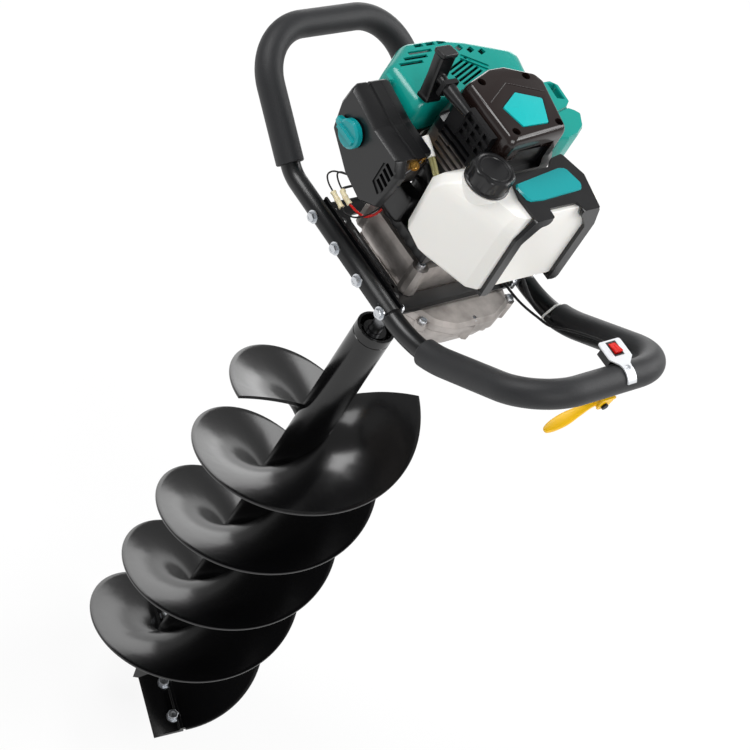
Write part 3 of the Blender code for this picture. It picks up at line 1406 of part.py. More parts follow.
def pilot_point():
    """The forked pilot point that centres the hole, on a plug in the tube's foot."""
    form = fresh()
    rod(form, (0, 0, DRILL_BOTTOM + 0.0200), (0, 0, DRILL_BOTTOM - 0.0080), 0.0200, sides=20)
    point = add("pilot_point", mesh_of("pilot_point", form), BLACK_ENAMEL)
    fork = fresh()
    slab(fork, [(-0.0200, -0.0300), (-0.0160, -0.0560), (0.0, -0.0440), (0.0160, -0.0560), (0.0200, -0.0300),
                (0.0180, 0.0), (-0.0180, 0.0)], -0.0040, 0.0040)
    fork_tool = tool("point_fork", fork, (0, 0, DRILL_BOTTOM), (90, 0, 30))
    boolean(point, fork_tool, "UNION")
    return point


pilot_point()
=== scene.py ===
"""Looks of a one-man petrol earth auger: a two-stroke power head on a tubular frame, with a 250 mm drill.

Metres, +Z up. The origin lies on the drill's axis, level with the centrelines of the frame's tubes.
X runs along the tubes towards the throttle handle, and Y from the near tube to the far one.
"""
import json
import math

import bpy
import numpy as np
from mathutils import Matrix, Vector

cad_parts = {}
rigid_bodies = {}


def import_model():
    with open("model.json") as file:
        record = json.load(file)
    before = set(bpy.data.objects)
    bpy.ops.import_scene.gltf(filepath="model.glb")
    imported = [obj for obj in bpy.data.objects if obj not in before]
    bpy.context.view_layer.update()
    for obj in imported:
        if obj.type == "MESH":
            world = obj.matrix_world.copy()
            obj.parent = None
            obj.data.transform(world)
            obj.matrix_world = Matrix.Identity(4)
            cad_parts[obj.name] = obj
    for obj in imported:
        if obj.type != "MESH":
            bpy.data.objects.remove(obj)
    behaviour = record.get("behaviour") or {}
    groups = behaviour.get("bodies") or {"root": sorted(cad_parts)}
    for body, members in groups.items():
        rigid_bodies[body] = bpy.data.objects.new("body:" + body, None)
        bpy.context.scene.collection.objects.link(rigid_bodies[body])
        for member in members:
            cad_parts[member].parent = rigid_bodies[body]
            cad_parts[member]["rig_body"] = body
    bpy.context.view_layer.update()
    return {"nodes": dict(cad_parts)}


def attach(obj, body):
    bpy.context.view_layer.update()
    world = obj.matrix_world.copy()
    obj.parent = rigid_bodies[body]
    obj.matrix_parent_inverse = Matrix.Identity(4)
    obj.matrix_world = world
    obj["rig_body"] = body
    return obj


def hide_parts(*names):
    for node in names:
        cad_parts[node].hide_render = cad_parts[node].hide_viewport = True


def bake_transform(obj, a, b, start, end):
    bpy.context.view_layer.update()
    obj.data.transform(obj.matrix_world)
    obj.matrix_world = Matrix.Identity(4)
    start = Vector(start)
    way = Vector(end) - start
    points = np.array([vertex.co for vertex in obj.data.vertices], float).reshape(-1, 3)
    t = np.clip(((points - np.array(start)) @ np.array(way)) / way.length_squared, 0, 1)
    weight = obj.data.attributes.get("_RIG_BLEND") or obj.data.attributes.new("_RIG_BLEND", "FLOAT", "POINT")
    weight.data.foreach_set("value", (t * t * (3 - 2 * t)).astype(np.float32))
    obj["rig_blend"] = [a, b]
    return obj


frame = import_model()


# Frame tubes. Two bent steel tubes of 23 mm, powder coated black, make the bars that the deck hangs
# between and a loop handle at each end. The right one plugs into the left one's open ends.

def linear(code):
    """A linear colour from sRGB hex: each channel is raised by the sRGB curve."""
    level = np.array([int(code[k:k + 2], 16) for k in (1, 3, 5)]) / 255
    value = np.where(level <= 0.04045, level / 12.92, ((level + 0.055) / 1.055) ** 2.4)
    return (*value.tolist(), 1.0)


def add_node(tree, kind, inputs=None, **settings):
    """Adds one node with its settings, and sets each input to a value or to the socket that feeds it."""
    node = tree.nodes.new("ShaderNode" + kind)
    for key, value in settings.items():
        setattr(node, key, value)
    for key, value in (inputs or {}).items():
        if isinstance(value, bpy.types.NodeSocket):
            tree.links.new(value, node.inputs[key])
        else:
            node.inputs[key].default_value = value
    return node


def parts_of(made):
    """A material's tree, its shader and the piece's own coordinates."""
    tree = made.node_tree
    source = tree.nodes.get("Texture Coordinate") or add_node(tree, "TexCoord")
    return tree, tree.nodes["Principled BSDF"], source.outputs["Object"]


def noise(tree, place, size, detail):
    """The level of a noise whose cells have the given size in metres."""
    return add_node(tree, "TexNoise", {"Vector": place, "Scale": 1 / size, "Detail": detail}).outputs["Fac"]


def ramp(tree, value, dark, light, dark_at=0.0, light_at=1.0):
    """A colour between two, by a value."""
    made = add_node(tree, "ValToRGB", {"Fac": value})
    for element, colour, at in zip(made.color_ramp.elements, (dark, light), (dark_at, light_at)):
        element.color = linear(colour)
        element.position = at
    return made.outputs["Color"]


def new_finish(name, colour, roughness, metallic=0.0, mottle=None, relief=(), more=None):
    """A Principled material. The mottle is a noise that moves the roughness: its size, its detail and
    both levels. Each layer of relief is a noise that bumps the surface: its size, its detail, the
    bump's strength and its depth. More sets other inputs of the shader."""
    made = bpy.data.materials.new(name)
    made.use_nodes = True
    tree, shader, place = parts_of(made)
    settings = {"Base Color": linear(colour), "Roughness": roughness, "Metallic": metallic, **(more or {})}
    for key, value in settings.items():
        shader.inputs[key].default_value = value
    if mottle:
        size, detail, low, high = mottle
        level = {"Value": noise(tree, place, size, detail), "To Min": low, "To Max": high}
        tree.links.new(add_node(tree, "MapRange", level).outputs["Result"], shader.inputs["Roughness"])
    under = {}
    for size, detail, strength, depth in relief:
        height = noise(tree, place, size, detail)
        bump = add_node(tree, "Bump", {"Height": height, "Strength": strength, "Distance": depth, **under})
        under = {"Normal": bump.outputs["Normal"]}
    if relief:
        tree.links.new(under["Normal"], shader.inputs["Normal"])
    return made


# Polyester powder coat: satin black, with the fine orange peel that baking leaves.
POWDER_COAT = new_finish("powder coated steel", "#0c0d0f", 0.3, mottle=(0.045, 4.0, 0.22, 0.4),
                         relief=[(0.0016, 2.0, 0.18, 0.0003)])


def corner_arc(before, corner, after, radius, count=0, pitch=0.002, most=1.0):
    """Points of an arc that touches both sides of a corner, a given count or about a pitch apart. With
    half the corner's angle h, it starts the radius / tan(h) before the corner, but takes no more of a
    side than the share called most."""
    back, ahead = before - corner, after - corner
    long_back, long_ahead = np.linalg.norm(back), np.linalg.norm(ahead)
    back, ahead = back / long_back, ahead / long_ahead
    half = math.acos(float(back @ ahead)) / 2
    reach = min(radius / math.tan(half), most * long_back, most * long_ahead)
    middle = corner + (back + ahead) / np.linalg.norm(back + ahead) * reach / math.cos(half)
    first, last = corner + back * reach - middle, corner + ahead * reach - middle
    sweep = math.pi - 2 * half
    share = np.linspace(0, 1, count or max(6, int(radius * sweep / pitch)))[:, None]
    return middle + (first * np.sin((1 - share) * sweep) + last * np.sin(share * sweep)) / math.sin(sweep)


def arc_route(corners, radii, pitch=0.002):
    """Straight runs joined by arcs at their corners."""
    corners = np.array(corners, float)
    arcs = [corner_arc(*corners[k:k + 3], radius, pitch=pitch) for k, radius in enumerate(radii)]
    return np.concatenate([corners[:1], *arcs, corners[-1:]])


def grid_mesh(name, grids, ends="capped"):
    """One mesh from grids of points, rows by columns by 3. Each row closes on itself, and a grid's
    first and last rows are capped, left open or joined to each other."""
    points, faces, count = [], [], 0
    for grid in grids:
        rows, columns = grid.shape[:2]
        index = np.arange(rows * columns).reshape(rows, columns) + count
        low, high = (index, np.roll(index, -1, 0)) if ends == "joined" else (index[:-1], index[1:])
        quads = np.stack([low, np.roll(low, -1, 1), np.roll(high, -1, 1), high], -1)
        faces += quads.reshape(-1, 4).tolist()
        if ends == "capped":
            faces += [index[0, ::-1].tolist(), index[-1].tolist()]
        points.append(grid.reshape(-1, 3))
        count += rows * columns
    mesh = bpy.data.meshes.new(name)
    mesh.from_pydata(np.concatenate(points).tolist(), [], faces)
    return mesh


def skin(name, grid, finish, body, ends="capped", smooth=True):
    """A piece from one grid, with the given finish. It rides on a body when one is given."""
    return piece(name, grid_mesh(name, [grid], ends), finish, body, smooth)


def linked(name, data):
    """A new object in the scene."""
    made = bpy.data.objects.new(name, data)
    bpy.context.scene.collection.objects.link(made)
    return made


def piece(name, mesh, finish, body, smooth=True):
    """An object at the origin from a mesh in place, shaded smooth up to its sharp edges."""
    mesh.validate()
    mesh.materials.clear()
    mesh.materials.append(finish)
    if smooth:
        mesh.shade_smooth()
        mesh.set_sharp_from_angle(angle=math.radians(38))
    made = linked(name, mesh)
    if body:
        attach(made, body)
    return made


def swept(route, radius, sides=40):
    """A round tube's grid: at each point of the route, a circle across its direction. The circle's
    first axis is the direction crossed with the vertical, so the section never twists."""
    along = np.gradient(route, axis=0)
    along /= np.linalg.norm(along, axis=1)[:, None]
    side = np.cross(along, [0.0, 0.0, 1.0])
    side /= np.linalg.norm(side, axis=1)[:, None]
    over = np.cross(along, side)
    turn = np.linspace(0, math.tau, sides, endpoint=False)
    radius = np.broadcast_to(np.asarray(radius, float), (len(route),))
    ring = np.cos(turn)[:, None] * side[:, None, :] + np.sin(turn)[:, None] * over[:, None, :]
    return route[:, None, :] + radius[:, None, None] * ring


TUBE_Y = 0.103
TUBE_R = 0.0115
TUBE_JOINT_X = 0.0705
LEFT = {"bend_x": -0.138, "rise": 30.7, "leg": 0.166, "bend_r": 0.044, "corner_r": 0.0637, "start": 0.149}
RIGHT = {"bend_x": 0.1217, "rise": 34.7, "leg": 0.1864, "bend_r": 0.150, "corner_r": 0.0583, "start": 0.131}


def handle_route(spec, side):
    """One handle's centreline: along the near tube, up and round the loop, and back along the far tube."""
    rise = math.radians(spec["rise"])
    end_x = spec["bend_x"] + side * spec["leg"] * math.cos(rise)
    end_z = spec["leg"] * math.sin(rise)
    joint = TUBE_JOINT_X - (0.0003 if side < 0 else 0.0)
    corners = [(joint, -TUBE_Y, 0), (spec["bend_x"], -TUBE_Y, 0), (end_x, -TUBE_Y, end_z),
               (end_x, TUBE_Y, end_z), (spec["bend_x"], TUBE_Y, 0), (joint, TUBE_Y, 0)]
    return arc_route(corners, [spec["bend_r"], spec["corner_r"], spec["corner_r"], spec["bend_r"]])


def add_wall(made, thickness):
    """The tube's or the sleeve's wall, measured inwards."""
    wall = made.modifiers.new("wall", "SOLIDIFY")
    wall.thickness = thickness
    wall.offset = -1.0


TUBE_WALL = 0.0016
for label, spec, side in (("left", LEFT, -1), ("right", RIGHT, 1)):
    tube = skin("handle_tube_" + label, swept(handle_route(spec, side), TUBE_R), POWDER_COAT,
                "frame", "open")
    add_wall(tube, TUBE_WALL)
    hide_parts("frame_tube_" + label)


# Grips. A sleeve of closed-cell rubber foam covers each loop. It is pushed on before the tube is bent,
# so its ends are cut square with a small round, and its skin shows fine pores.

def grip_foam():
    """Nitrile foam: dull charcoal, with pores of about 0.5 mm drawn at 1.2 mm so that they show, and painted
    shade that darkens each pore's pit.
    """
    made = new_finish("closed-cell nitrile foam", "#101113", 0.56,
                      more={"Sheen Weight": 0.05, "Sheen Roughness": 0.5})
    tree, shader, place = parts_of(made)
    cells = add_node(tree, "TexVoronoi", {"Vector": place, "Scale": 1 / 0.0012}, feature="F1")
    pores = cells.outputs["Distance"]
    # Painted shade: the colour darkens towards each pore's middle, where the bump sinks the pit.
    tree.links.new(ramp(tree, pores, "#08090a", "#191a1d", 0.0, 0.45), shader.inputs["Base Color"])
    bump = add_node(tree, "Bump", {"Height": pores, "Strength": 0.35, "Distance": 0.0003})
    swell = add_node(tree, "Bump", {"Height": noise(tree, place, 0.012, 3.0), "Strength": 0.12,
                                    "Distance": 0.002, "Normal": bump.outputs["Normal"]})
    tree.links.new(swell.outputs["Normal"], shader.inputs["Normal"])
    return made


GRIP_FOAM = grip_foam()
GRIP_R = 0.0162
GRIP_END = 0.003
GRIP_SLACK = 0.0008


def grip_line(route, start):
    """The stretch of a handle's centreline beyond a start in X: a point each 2.5 mm, a denser row at
    both ends, and each point's way to the nearer end."""
    reach = np.abs(route[:, 0]) > start
    first, last = np.argmax(reach), len(reach) - 1 - np.argmax(reach[::-1])
    ends = []
    for outer, inner in ((route[first - 1], route[first]), (route[last + 1], route[last])):
        share = (start - abs(outer[0])) / (abs(inner[0]) - abs(outer[0]))
        ends.append(outer + (inner - outer) * share)
    line = np.concatenate([ends[:1], route[first:last + 1], ends[1:]])
    travelled = np.concatenate([[0], np.cumsum(np.linalg.norm(np.diff(line, axis=0), axis=1))])
    whole = travelled[-1]
    fine = np.unique(np.concatenate([np.linspace(0, GRIP_END, 6),
                                     np.arange(GRIP_END, whole - GRIP_END, 0.0025),
                                     np.linspace(whole - GRIP_END, whole, 6)]))
    points = np.stack([np.interp(fine, travelled, line[:, k]) for k in range(3)], 1)
    return points, np.minimum(fine, whole - fine)


for label, spec, side in (("left", LEFT, -1), ("right", RIGHT, 1)):
    line, from_end = grip_line(handle_route(spec, side), spec["start"])
    radius = GRIP_R - 0.0012 * np.clip(1 - from_end / 0.0015, 0, 1) ** 2
    sleeve = skin("grip_sleeve_" + label, swept(line, radius), GRIP_FOAM, "frame", "open")
    add_wall(sleeve, GRIP_R - TUBE_R - GRIP_SLACK)
    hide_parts("grip_foam_" + label)


# Deck. A pressed steel tray, powder coated with the tubes, is bolted between them through its turned
# edges and carries the gearbox below and the engine above.

def edged(made, edge, segments=2):
    """The piece with its points merged and its edges rounded, as the press, the mould or the die
    leaves them."""
    made.modifiers.new("weld", "WELD").merge_threshold = 0.00002
    round_off = made.modifiers.new("edges", "BEVEL")
    round_off.width = edge
    round_off.segments = segments
    round_off.limit_method = "ANGLE"
    round_off.angle_limit = math.radians(32)
    round_off.harden_normals = True
    round_off.use_clamp_overlap = True
    return made


def shaped(node, name, mesh, finish, edge, segments=2):
    """A piece that takes a solid's place, on its body, with its edges rounded."""
    made = piece(name, mesh, finish, frame["nodes"][node]["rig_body"])
    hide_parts(node)
    return edged(made, edge, segments)


def softened(node, finish, edge, segments=2):
    """A copy of a solid with its triangles merged and its edges rounded."""
    mesh = frame["nodes"][node].data.copy()
    for attribute in [a for a in mesh.attributes if a.name == "custom_normal"]:
        mesh.attributes.remove(attribute)
    return shaped(node, node + "_finished", mesh, finish, edge, segments)


softened("deck_plate", POWDER_COAT, 0.0006)


# Fasteners. Zinc-plated steel screws and washers hold the deck, the gearbox, the housings and the
# blades. They are bright, a little blue, and turned or forged, so their heads have small chamfers.

# Bright zinc: nearly white metal with a faint cloudiness in its gloss.
ZINC_PLATE = new_finish("zinc plated steel", "#cfd2d6", 0.28, 1.0, mottle=(0.004, 4.0, 0.18, 0.42))

# Oil-blacked steel: a thin dark oxide, dull, with a faint blotch left by the bath.
BLACK_OXIDE = new_finish("oil-blacked steel", "#2a2a2d", 0.45, 0.8, mottle=(0.003, 3.0, 0.38, 0.58))


def ringed(rows, turn):
    """A grid of rings about +Z. A row is a radius and a height, and each is one number or one by angle."""
    return np.stack([np.stack([r * np.cos(turn), r * np.sin(turn), z + 0 * turn], -1) for r, z in rows])


def hexagon_radius(across, turn):
    """A hexagon's radius: its half width over the cosine of the angle from the nearest flat's middle."""
    return across / 2 / np.cos((turn + math.pi / 6) % (math.pi / 3) - math.pi / 6)


def hex_head(across, height, washer_r, washer_h, sides=72):
    """A washer and a hexagon head on it, along +Z. A 30 degree cone cuts the hexagon's corners."""
    turn = np.linspace(0, math.tau, sides, endpoint=False)
    flat, top = across / 2, washer_h + height
    hexagon = hexagon_radius(across, turn)
    drop = (hexagon - flat) * math.tan(math.radians(30))
    return ringed([(washer_r, 0), (washer_r, washer_h), (hexagon, washer_h), (hexagon, top - drop - 0.0003),
                   (flat * 0.93, top), (flat * 0.55, top), (flat * 0.45, top - 0.0004),
                   (0.00005, top - 0.0004)], turn)


def fasteners(name, grid, places, finish, body):
    """A set of like fasteners as one piece: copies of one grid, each moved by a matrix."""
    flat = np.concatenate([grid, np.ones((*grid.shape[:2], 1))], -1)
    moved = [(flat @ np.array(place).T)[..., :3] for place in places]
    return piece(name, grid_mesh(name, moved), finish, body)


def facing(at, direction=(0, 0, 1)):
    """A place at a point with its Z along a direction."""
    turn = Vector(direction).to_track_quat("Z", "Y").to_matrix().to_4x4()
    return Matrix.Translation(at) @ turn


DECK_BOLT_X = (-0.077, -0.030, 0.017, 0.064)
SCREW_SEAT_Y = TUBE_Y + TUBE_R - 0.0004
NUT_SEAT_Y = 0.0885
fasteners("deck_bolts", hex_head(0.0100, 0.0042, 0.0078, 0.0014),
          [facing((x, side * SCREW_SEAT_Y, 0), (0, side, 0)) for x in DECK_BOLT_X for side in (-1, 1)],
          ZINC_PLATE, "frame")
fasteners("deck_nuts", hex_head(0.0100, 0.0045, 0.0070, 0.0010),
          [facing((x, side * NUT_SEAT_Y, 0), (0, -side, 0)) for x in DECK_BOLT_X for side in (-1, 1)],
          ZINC_PLATE, "frame")


# Gearbox. Two die-cast aluminium halves, screwed together at lugs round the joint, hold two pairs of
# steel gears. The castings are left bare, with the fine grain that shot blasting gives.

def cast_aluminium():
    """Shot-blasted aluminium die casting: warm grey metal, dull, with a grain of 0.7 mm, and clouded."""
    made = new_finish("shot-blasted aluminium casting", "#b4aeaa", 0.5, 1.0, mottle=(0.0007, 3.0, 0.42, 0.6),
                      relief=[(0.0007, 3.0, 0.3, 0.0003)])
    tree, shader, place = parts_of(made)
    tone = ramp(tree, noise(tree, place, 0.022, 5.0), "#9c9692", "#c2bcb8", 0.32, 0.68)
    tree.links.new(tone, shader.inputs["Base Color"])
    return made


CAST_ALUMINIUM = cast_aluminium()
softened("gearbox_upper_case", CAST_ALUMINIUM, 0.0010)
softened("gearbox_lower_case", CAST_ALUMINIUM, 0.0012)


# Turned and ground steel under a film of oil: mid grey, its gloss a little uneven.
GROUND_STEEL = new_finish("ground steel", "#8e8f92", 0.32, 1.0, mottle=(0.002, 3.0, 0.22, 0.42))
for node in ("clutch_drum", "layshaft_gear", "output_shaft", "input_bearing", "output_bearing", "crankshaft",
             "drive_pin", "recoil_spring"):
    softened(node, GROUND_STEEL, 0.0002, 1)

CASE_SCREWS = [(0.080, -0.056), (0.094, 0.010), (0.079, 0.078), (0.020, 0.084), (-0.047, 0.050),
               (-0.047, -0.050), (0.010, -0.072)]


def socket_head(head_r, height, socket, sides=48):
    """A cap screw along +Z: a short cylinder with a chamfered rim and a six-sided socket in its top."""
    turn = np.linspace(0, math.tau, sides, endpoint=False)
    hexagon = hexagon_radius(socket, turn)
    return ringed([(head_r, 0), (head_r, height - 0.0004), (head_r - 0.0004, height), (hexagon, height),
                   (hexagon, height * 0.45), (0.00005, height * 0.42)], turn)


CASE_SCREW_SEAT = -0.0134
fasteners("gearbox_screws", socket_head(0.0046, 0.0045, 0.0042),
          [facing((x, y, CASE_SCREW_SEAT)) for x, y in CASE_SCREWS], ZINC_PLATE, "frame")


# Clutch housing. An aluminium die casting joins the gearbox to the engine round the clutch drum.
# Two cast shoes on the crank swing out and grip the drum once the engine speeds up.

softened("clutch_housing", CAST_ALUMINIUM, 0.0014)
softened("clutch_shoe_first", CAST_ALUMINIUM, 0.0004, 1)
softened("clutch_shoe_second", CAST_ALUMINIUM, 0.0004, 1)
HOUSING_BOSSES = [(0.040, -0.058), (0.040, 0.058), (-0.056, -0.052), (-0.056, 0.052)]
HOUSING_SCREW_SEAT = 0.0361
fasteners("clutch_housing_screws", socket_head(0.0046, 0.0050, 0.0042),
          [facing((x, y, HOUSING_SCREW_SEAT)) for x, y in HOUSING_BOSSES], ZINC_PLATE, "frame")


# Engine. The cylinder and the flywheel are bare aluminium castings, and the crankcase is lacquered. The
# cylinder lies on its side with its fins across the shroud's air. A rubber cap covers its spark plug.

# Aluminium casting under black heat-proof lacquer: dull black over the casting's grain.
LACQUERED_CASTING = new_finish("black lacquered casting", "#161517", 0.46, mottle=(0.0012, 3.0, 0.36, 0.56),
                               relief=[(0.0012, 3.0, 0.3, 0.0004)])
softened("crankcase", LACQUERED_CASTING, 0.0010)
softened("cylinder", CAST_ALUMINIUM, 0.0005, 1)
softened("flywheel", CAST_ALUMINIUM, 0.0006, 1)


# Moulded rubber: black and dull, dusty where it is handled.
SOFT_RUBBER = new_finish("moulded rubber", "#0f0f11", 0.6, mottle=(0.006, 4.0, 0.55, 0.85))
softened("spark_plug_cap", SOFT_RUBBER, 0.0015)


# Black parts round the engine. The filter case, pull handle, tank guard and switch body are nylon from a
# spark-eroded mould, satin black with a fine even grain. The fan housing is a lacquered casting.

# Spark-textured nylon: satin black, with a grain of 0.3 mm drawn at 0.9 mm so that it shows.
BLACK_NYLON = new_finish("spark-textured black nylon", "#0d0d0f", 0.32, mottle=(0.03, 3.0, 0.24, 0.38),
                         relief=[(0.0009, 2.0, 0.12, 0.0003)])

LACQUER_LINE = 0.1768


def housing_finish():
    """The fan housing's finish: satin black lacquer over the casting, left bare below the line where
    the engine's flange begins, so its lowest fins show grey metal."""
    made = new_finish("casting lacquered black above the flange", "#0d0d0f", 0.32,
                      relief=[(0.0009, 2.0, 0.15, 0.0003)])
    tree, shader, place = parts_of(made)
    height = add_node(tree, "SeparateXYZ", {"Vector": place}).outputs["Z"]
    bare = add_node(tree, "MapRange", {"Value": height, "From Min": LACQUER_LINE,
                                       "From Max": LACQUER_LINE - 0.0004}).outputs["Result"]
    colour = add_node(tree, "Mix", data_type="RGBA")
    colour.inputs["A"].default_value = linear("#0d0d0f")
    tree.links.new(bare, colour.inputs["Factor"])
    tree.links.new(ramp(tree, noise(tree, place, 0.01, 4.0), "#6f6967", "#a09a97"), colour.inputs["B"])
    rough = add_node(tree, "MapRange", {"Value": bare, "To Min": 0.3, "To Max": 0.48})
    for socket, key in ((colour.outputs["Result"], "Base Color"), (bare, "Metallic"),
                        (rough.outputs["Result"], "Roughness")):
        tree.links.new(socket, shader.inputs[key])
    return made


def plan(corners, radius, steps=4):
    """An outline with each of its corners rounded by an arc."""
    corners = np.array(corners, float)
    sides = zip(np.roll(corners, 1, 0), corners, np.roll(corners, -1, 0))
    return np.concatenate([corner_arc(*side, radius, steps + 1, most=0.45) for side in sides])


def drawn_in(outline, factor, about=None):
    """An outline scaled about a point, its own middle by default."""
    outline = np.array(outline)
    middle = outline.mean(0) if about is None else np.array(about)
    return middle + (outline - middle) * np.array(factor)


def stacked(*levels):
    """A grid through flat outlines of equal length, each with its height."""
    return np.stack([np.concatenate([outline, np.full((len(outline), 1), z)], 1) for outline, z in levels])


def prism(outline, low, high):
    """A grid of two rows: one outline at two heights."""
    return stacked((outline, low), (outline, high))


def superellipse(count, wide, high):
    """Points round a superellipse: the cosine and the sine, each to its own power and with its sign."""
    turn = np.linspace(0, math.tau, count, endpoint=False)
    return np.stack([np.abs(np.cos(turn)) ** wide * np.sign(np.cos(turn)),
                     np.abs(np.sin(turn)) ** high * np.sign(np.sin(turn))], 1)


def box_grid(size, centre, turn_z=0.0):
    """A box as a grid of two rows, turned about the vertical through its centre."""
    turn = math.radians(turn_z)
    corners = np.array([(-1, -1), (1, -1), (1, 1), (-1, 1)]) * np.array(size[:2]) / 2
    corners = corners @ np.array([(math.cos(turn), math.sin(turn)), (-math.sin(turn), math.cos(turn))])
    corners = corners + np.array(centre[:2])
    return prism(corners, centre[2] - size[2] / 2, centre[2] + size[2] / 2)


def rod_grid(start, end, radius, end_radius=None, sides=32):
    """A cylinder or cone between two points as a grid of two rows."""
    ends = np.array([start, end], float)
    second = radius if end_radius is None else end_radius
    axis = (ends[1] - ends[0]) / np.linalg.norm(ends[1] - ends[0])
    side = np.cross(axis, [0.0, 0.0, 1.0] if abs(axis[2]) < 0.9 else [1.0, 0.0, 0.0])
    side /= np.linalg.norm(side)
    over = np.cross(axis, side)
    turn = np.linspace(0, math.tau, sides, endpoint=False)[:, None]
    ring = np.cos(turn) * side + np.sin(turn) * over
    return np.stack([ends[0] + ring * radius, ends[1] + ring * second])


def carved(name, base, steps):
    """A mesh from a closed grid, with others cut out of it or joined to it one step after another."""
    made = linked(name + "_blank", grid_mesh(name, [base]))
    tools = []
    for operation, grids in steps:
        tools.append(linked(name + "_tool", grid_mesh(name + "_tool", grids)))
        step = made.modifiers.new(operation.lower(), "BOOLEAN")
        step.operation = operation
        step.solver = "EXACT"
        step.use_self = True
        step.object = tools[-1]
    bpy.context.view_layer.update()
    mesh = bpy.data.meshes.new_from_object(made.evaluated_get(bpy.context.evaluated_depsgraph_get()))
    for leftover in [made] + tools:
        bpy.data.objects.remove(leftover)
    return mesh


GUIDE_AT = np.array([-0.0505, -0.0625, 0.225])
GUIDE_END = -0.0265


def fan_housing():
    """The housing round the flywheel, with its vent block, the rope's guide arm and the arm's collar."""
    low = plan([(-0.057, -0.036), (-0.044, -0.060), (0.020, -0.060), (0.045, -0.042),
                (0.045, 0.040), (0.030, 0.055), (-0.042, 0.055), (-0.057, 0.030)], 0.008)
    high = drawn_in(low, (0.95, 0.86), (-0.006, 0.0))
    base = stacked((low, 0.1503), (low, 0.1900), (high, 0.1980), (high, 0.2117))
    x, y, z = GUIDE_AT
    vents = [box_grid((0.0110, 0.0120, 0.0065), (-0.0050 + 0.0140 * column, -0.0630, 0.2020 + 0.0105 * row))
             for row in range(3) for column in range(3)]
    vents += [box_grid((0.0460, 0.0280, 0.0042), (-0.0060, -0.0620, 0.1560 + 0.0085 * k)) for k in range(5)]
    vents += [box_grid((0.0200, 0.0560, 0.0300), (0.0480, -0.0040, 0.2010))]
    return carved("fan_housing", base, [
        ("UNION", [box_grid((0.0440, 0.0085, 0.0520), (0.0070, -0.0565, 0.2040)),
                   box_grid((0.0200, 0.0090, 0.0500), (-0.0220, -0.0572, 0.1990))]),
        ("DIFFERENCE", [rod_grid((0, 0, 0.1400), (0, 0, 0.1850), 0.0405, sides=64),
                        rod_grid((0, 0, 0.1700), (0, 0, 0.2300), 0.0280, sides=64)]),
        ("DIFFERENCE", vents),
        ("UNION", [rod_grid((-0.0490, y, z), (-0.0110, y + 0.0015, z), 0.0088, 0.0050),
                   box_grid((0.0060, 0.0190, 0.0190), (x, y, z))]),
        ("DIFFERENCE", [rod_grid((-0.0700, y, z), (GUIDE_END, y, z), 0.0026, sides=24)])])


shaped("starter_housing", "fan_housing", fan_housing(), housing_finish(), 0.0010)

SHROUD_PLAN = [(-0.122, -0.0770), (-0.058, -0.0770), (-0.061, -0.050), (-0.0605, 0.060), (-0.061, 0.062),
               (-0.076, 0.108), (-0.113, 0.118), (-0.140, 0.050), (-0.150, 0.010), (-0.150, -0.035)]
SHROUD_MIDDLE = (-0.095, 0.0)

# A black plate under the shroud's slots, put there as painted shade so that the slots show dark: a plate in
# the shroud's plan, drawn in by an eighth.
skin("slot_shade_plate", prism(drawn_in(SHROUD_PLAN, 0.88, SHROUD_MIDDLE), 0.1660, 0.1715), BLACK_NYLON, "frame",
     smooth=False)


def guide_surface():
    """The air guide on the clutch housing's near shoulder: a superellipse section carried along X,
    drawn in at both ends and waved by seven low ribs."""
    along = np.concatenate([[0.0, 0.004], np.linspace(0.008, 0.992, 85), [0.996, 1.0]])[:, None]
    wide, high = superellipse(48, 0.35, 0.35).T
    fade = np.clip(1 - np.abs(along - 0.5) * 2, 0, 0.06) / 0.06 * 0.25 + 0.75
    swell = fade * (1 + 0.06 * np.cos(along * 7 * math.tau))
    return np.stack([-0.0590 + 0.1030 * along + 0 * wide, -0.0606 + 0.0062 * swell * wide,
                     0.0528 + 0.0080 * swell * high], -1)


skin("air_guide", guide_surface(), BLACK_NYLON, "frame")


def cowl_surface():
    """The cowl under the carburettor: a superellipse section carried upwards, drawn in at both ends."""
    section = superellipse(48, 0.4, 0.4) * (0.0230, 0.0095)
    levels = [(0.0600, 0.86), (0.0620, 0.95), (0.0660, 1.0), (0.0930, 1.0), (0.0985, 0.93), (0.1005, 0.82)]
    return stacked(*[(section * share + (-0.0270, -0.0690), z) for z, share in levels])


skin("carburettor_cowl", cowl_surface(), BLACK_NYLON, "frame")
softened("starter_pulley", BLACK_NYLON, 0.0003, 1)

HANDLE_AT = np.array([-0.0700, -0.0625, 0.225])
HANDLE_LEAN = math.radians(-10)


def handle_surface():
    """The pull handle: a rounded rectangle carried up the bar, wider at both ends, leaning back."""
    levels = [(-0.0310, 0.0080, 0.0106), (-0.0300, 0.0085, 0.0111), (-0.0266, 0.0085, 0.0111),
              (-0.0250, 0.0075, 0.0101), (0.0, 0.0070, 0.0096), (0.0250, 0.0075, 0.0101),
              (0.0266, 0.0085, 0.0111), (0.0300, 0.0085, 0.0111), (0.0310, 0.0080, 0.0106)]
    grid = stacked(*[(plan([(-x, -y), (x, -y), (x, y), (-x, y)], 0.0025), z) for z, x, y in levels])
    lean = np.array([(math.cos(HANDLE_LEAN), 0, math.sin(HANDLE_LEAN)), (0, 1, 0),
                     (-math.sin(HANDLE_LEAN), 0, math.cos(HANDLE_LEAN))])
    return grid @ lean.T + HANDLE_AT


neck = rod_grid(HANDLE_AT + (0.0030, 0, 0), HANDLE_AT + (0.0162, 0, 0), 0.0066, 0.0056)
shaped("starter_handle", "pull_handle", carved("pull_handle", handle_surface(), [("UNION", [neck])]),
       BLACK_NYLON, 0.0009)


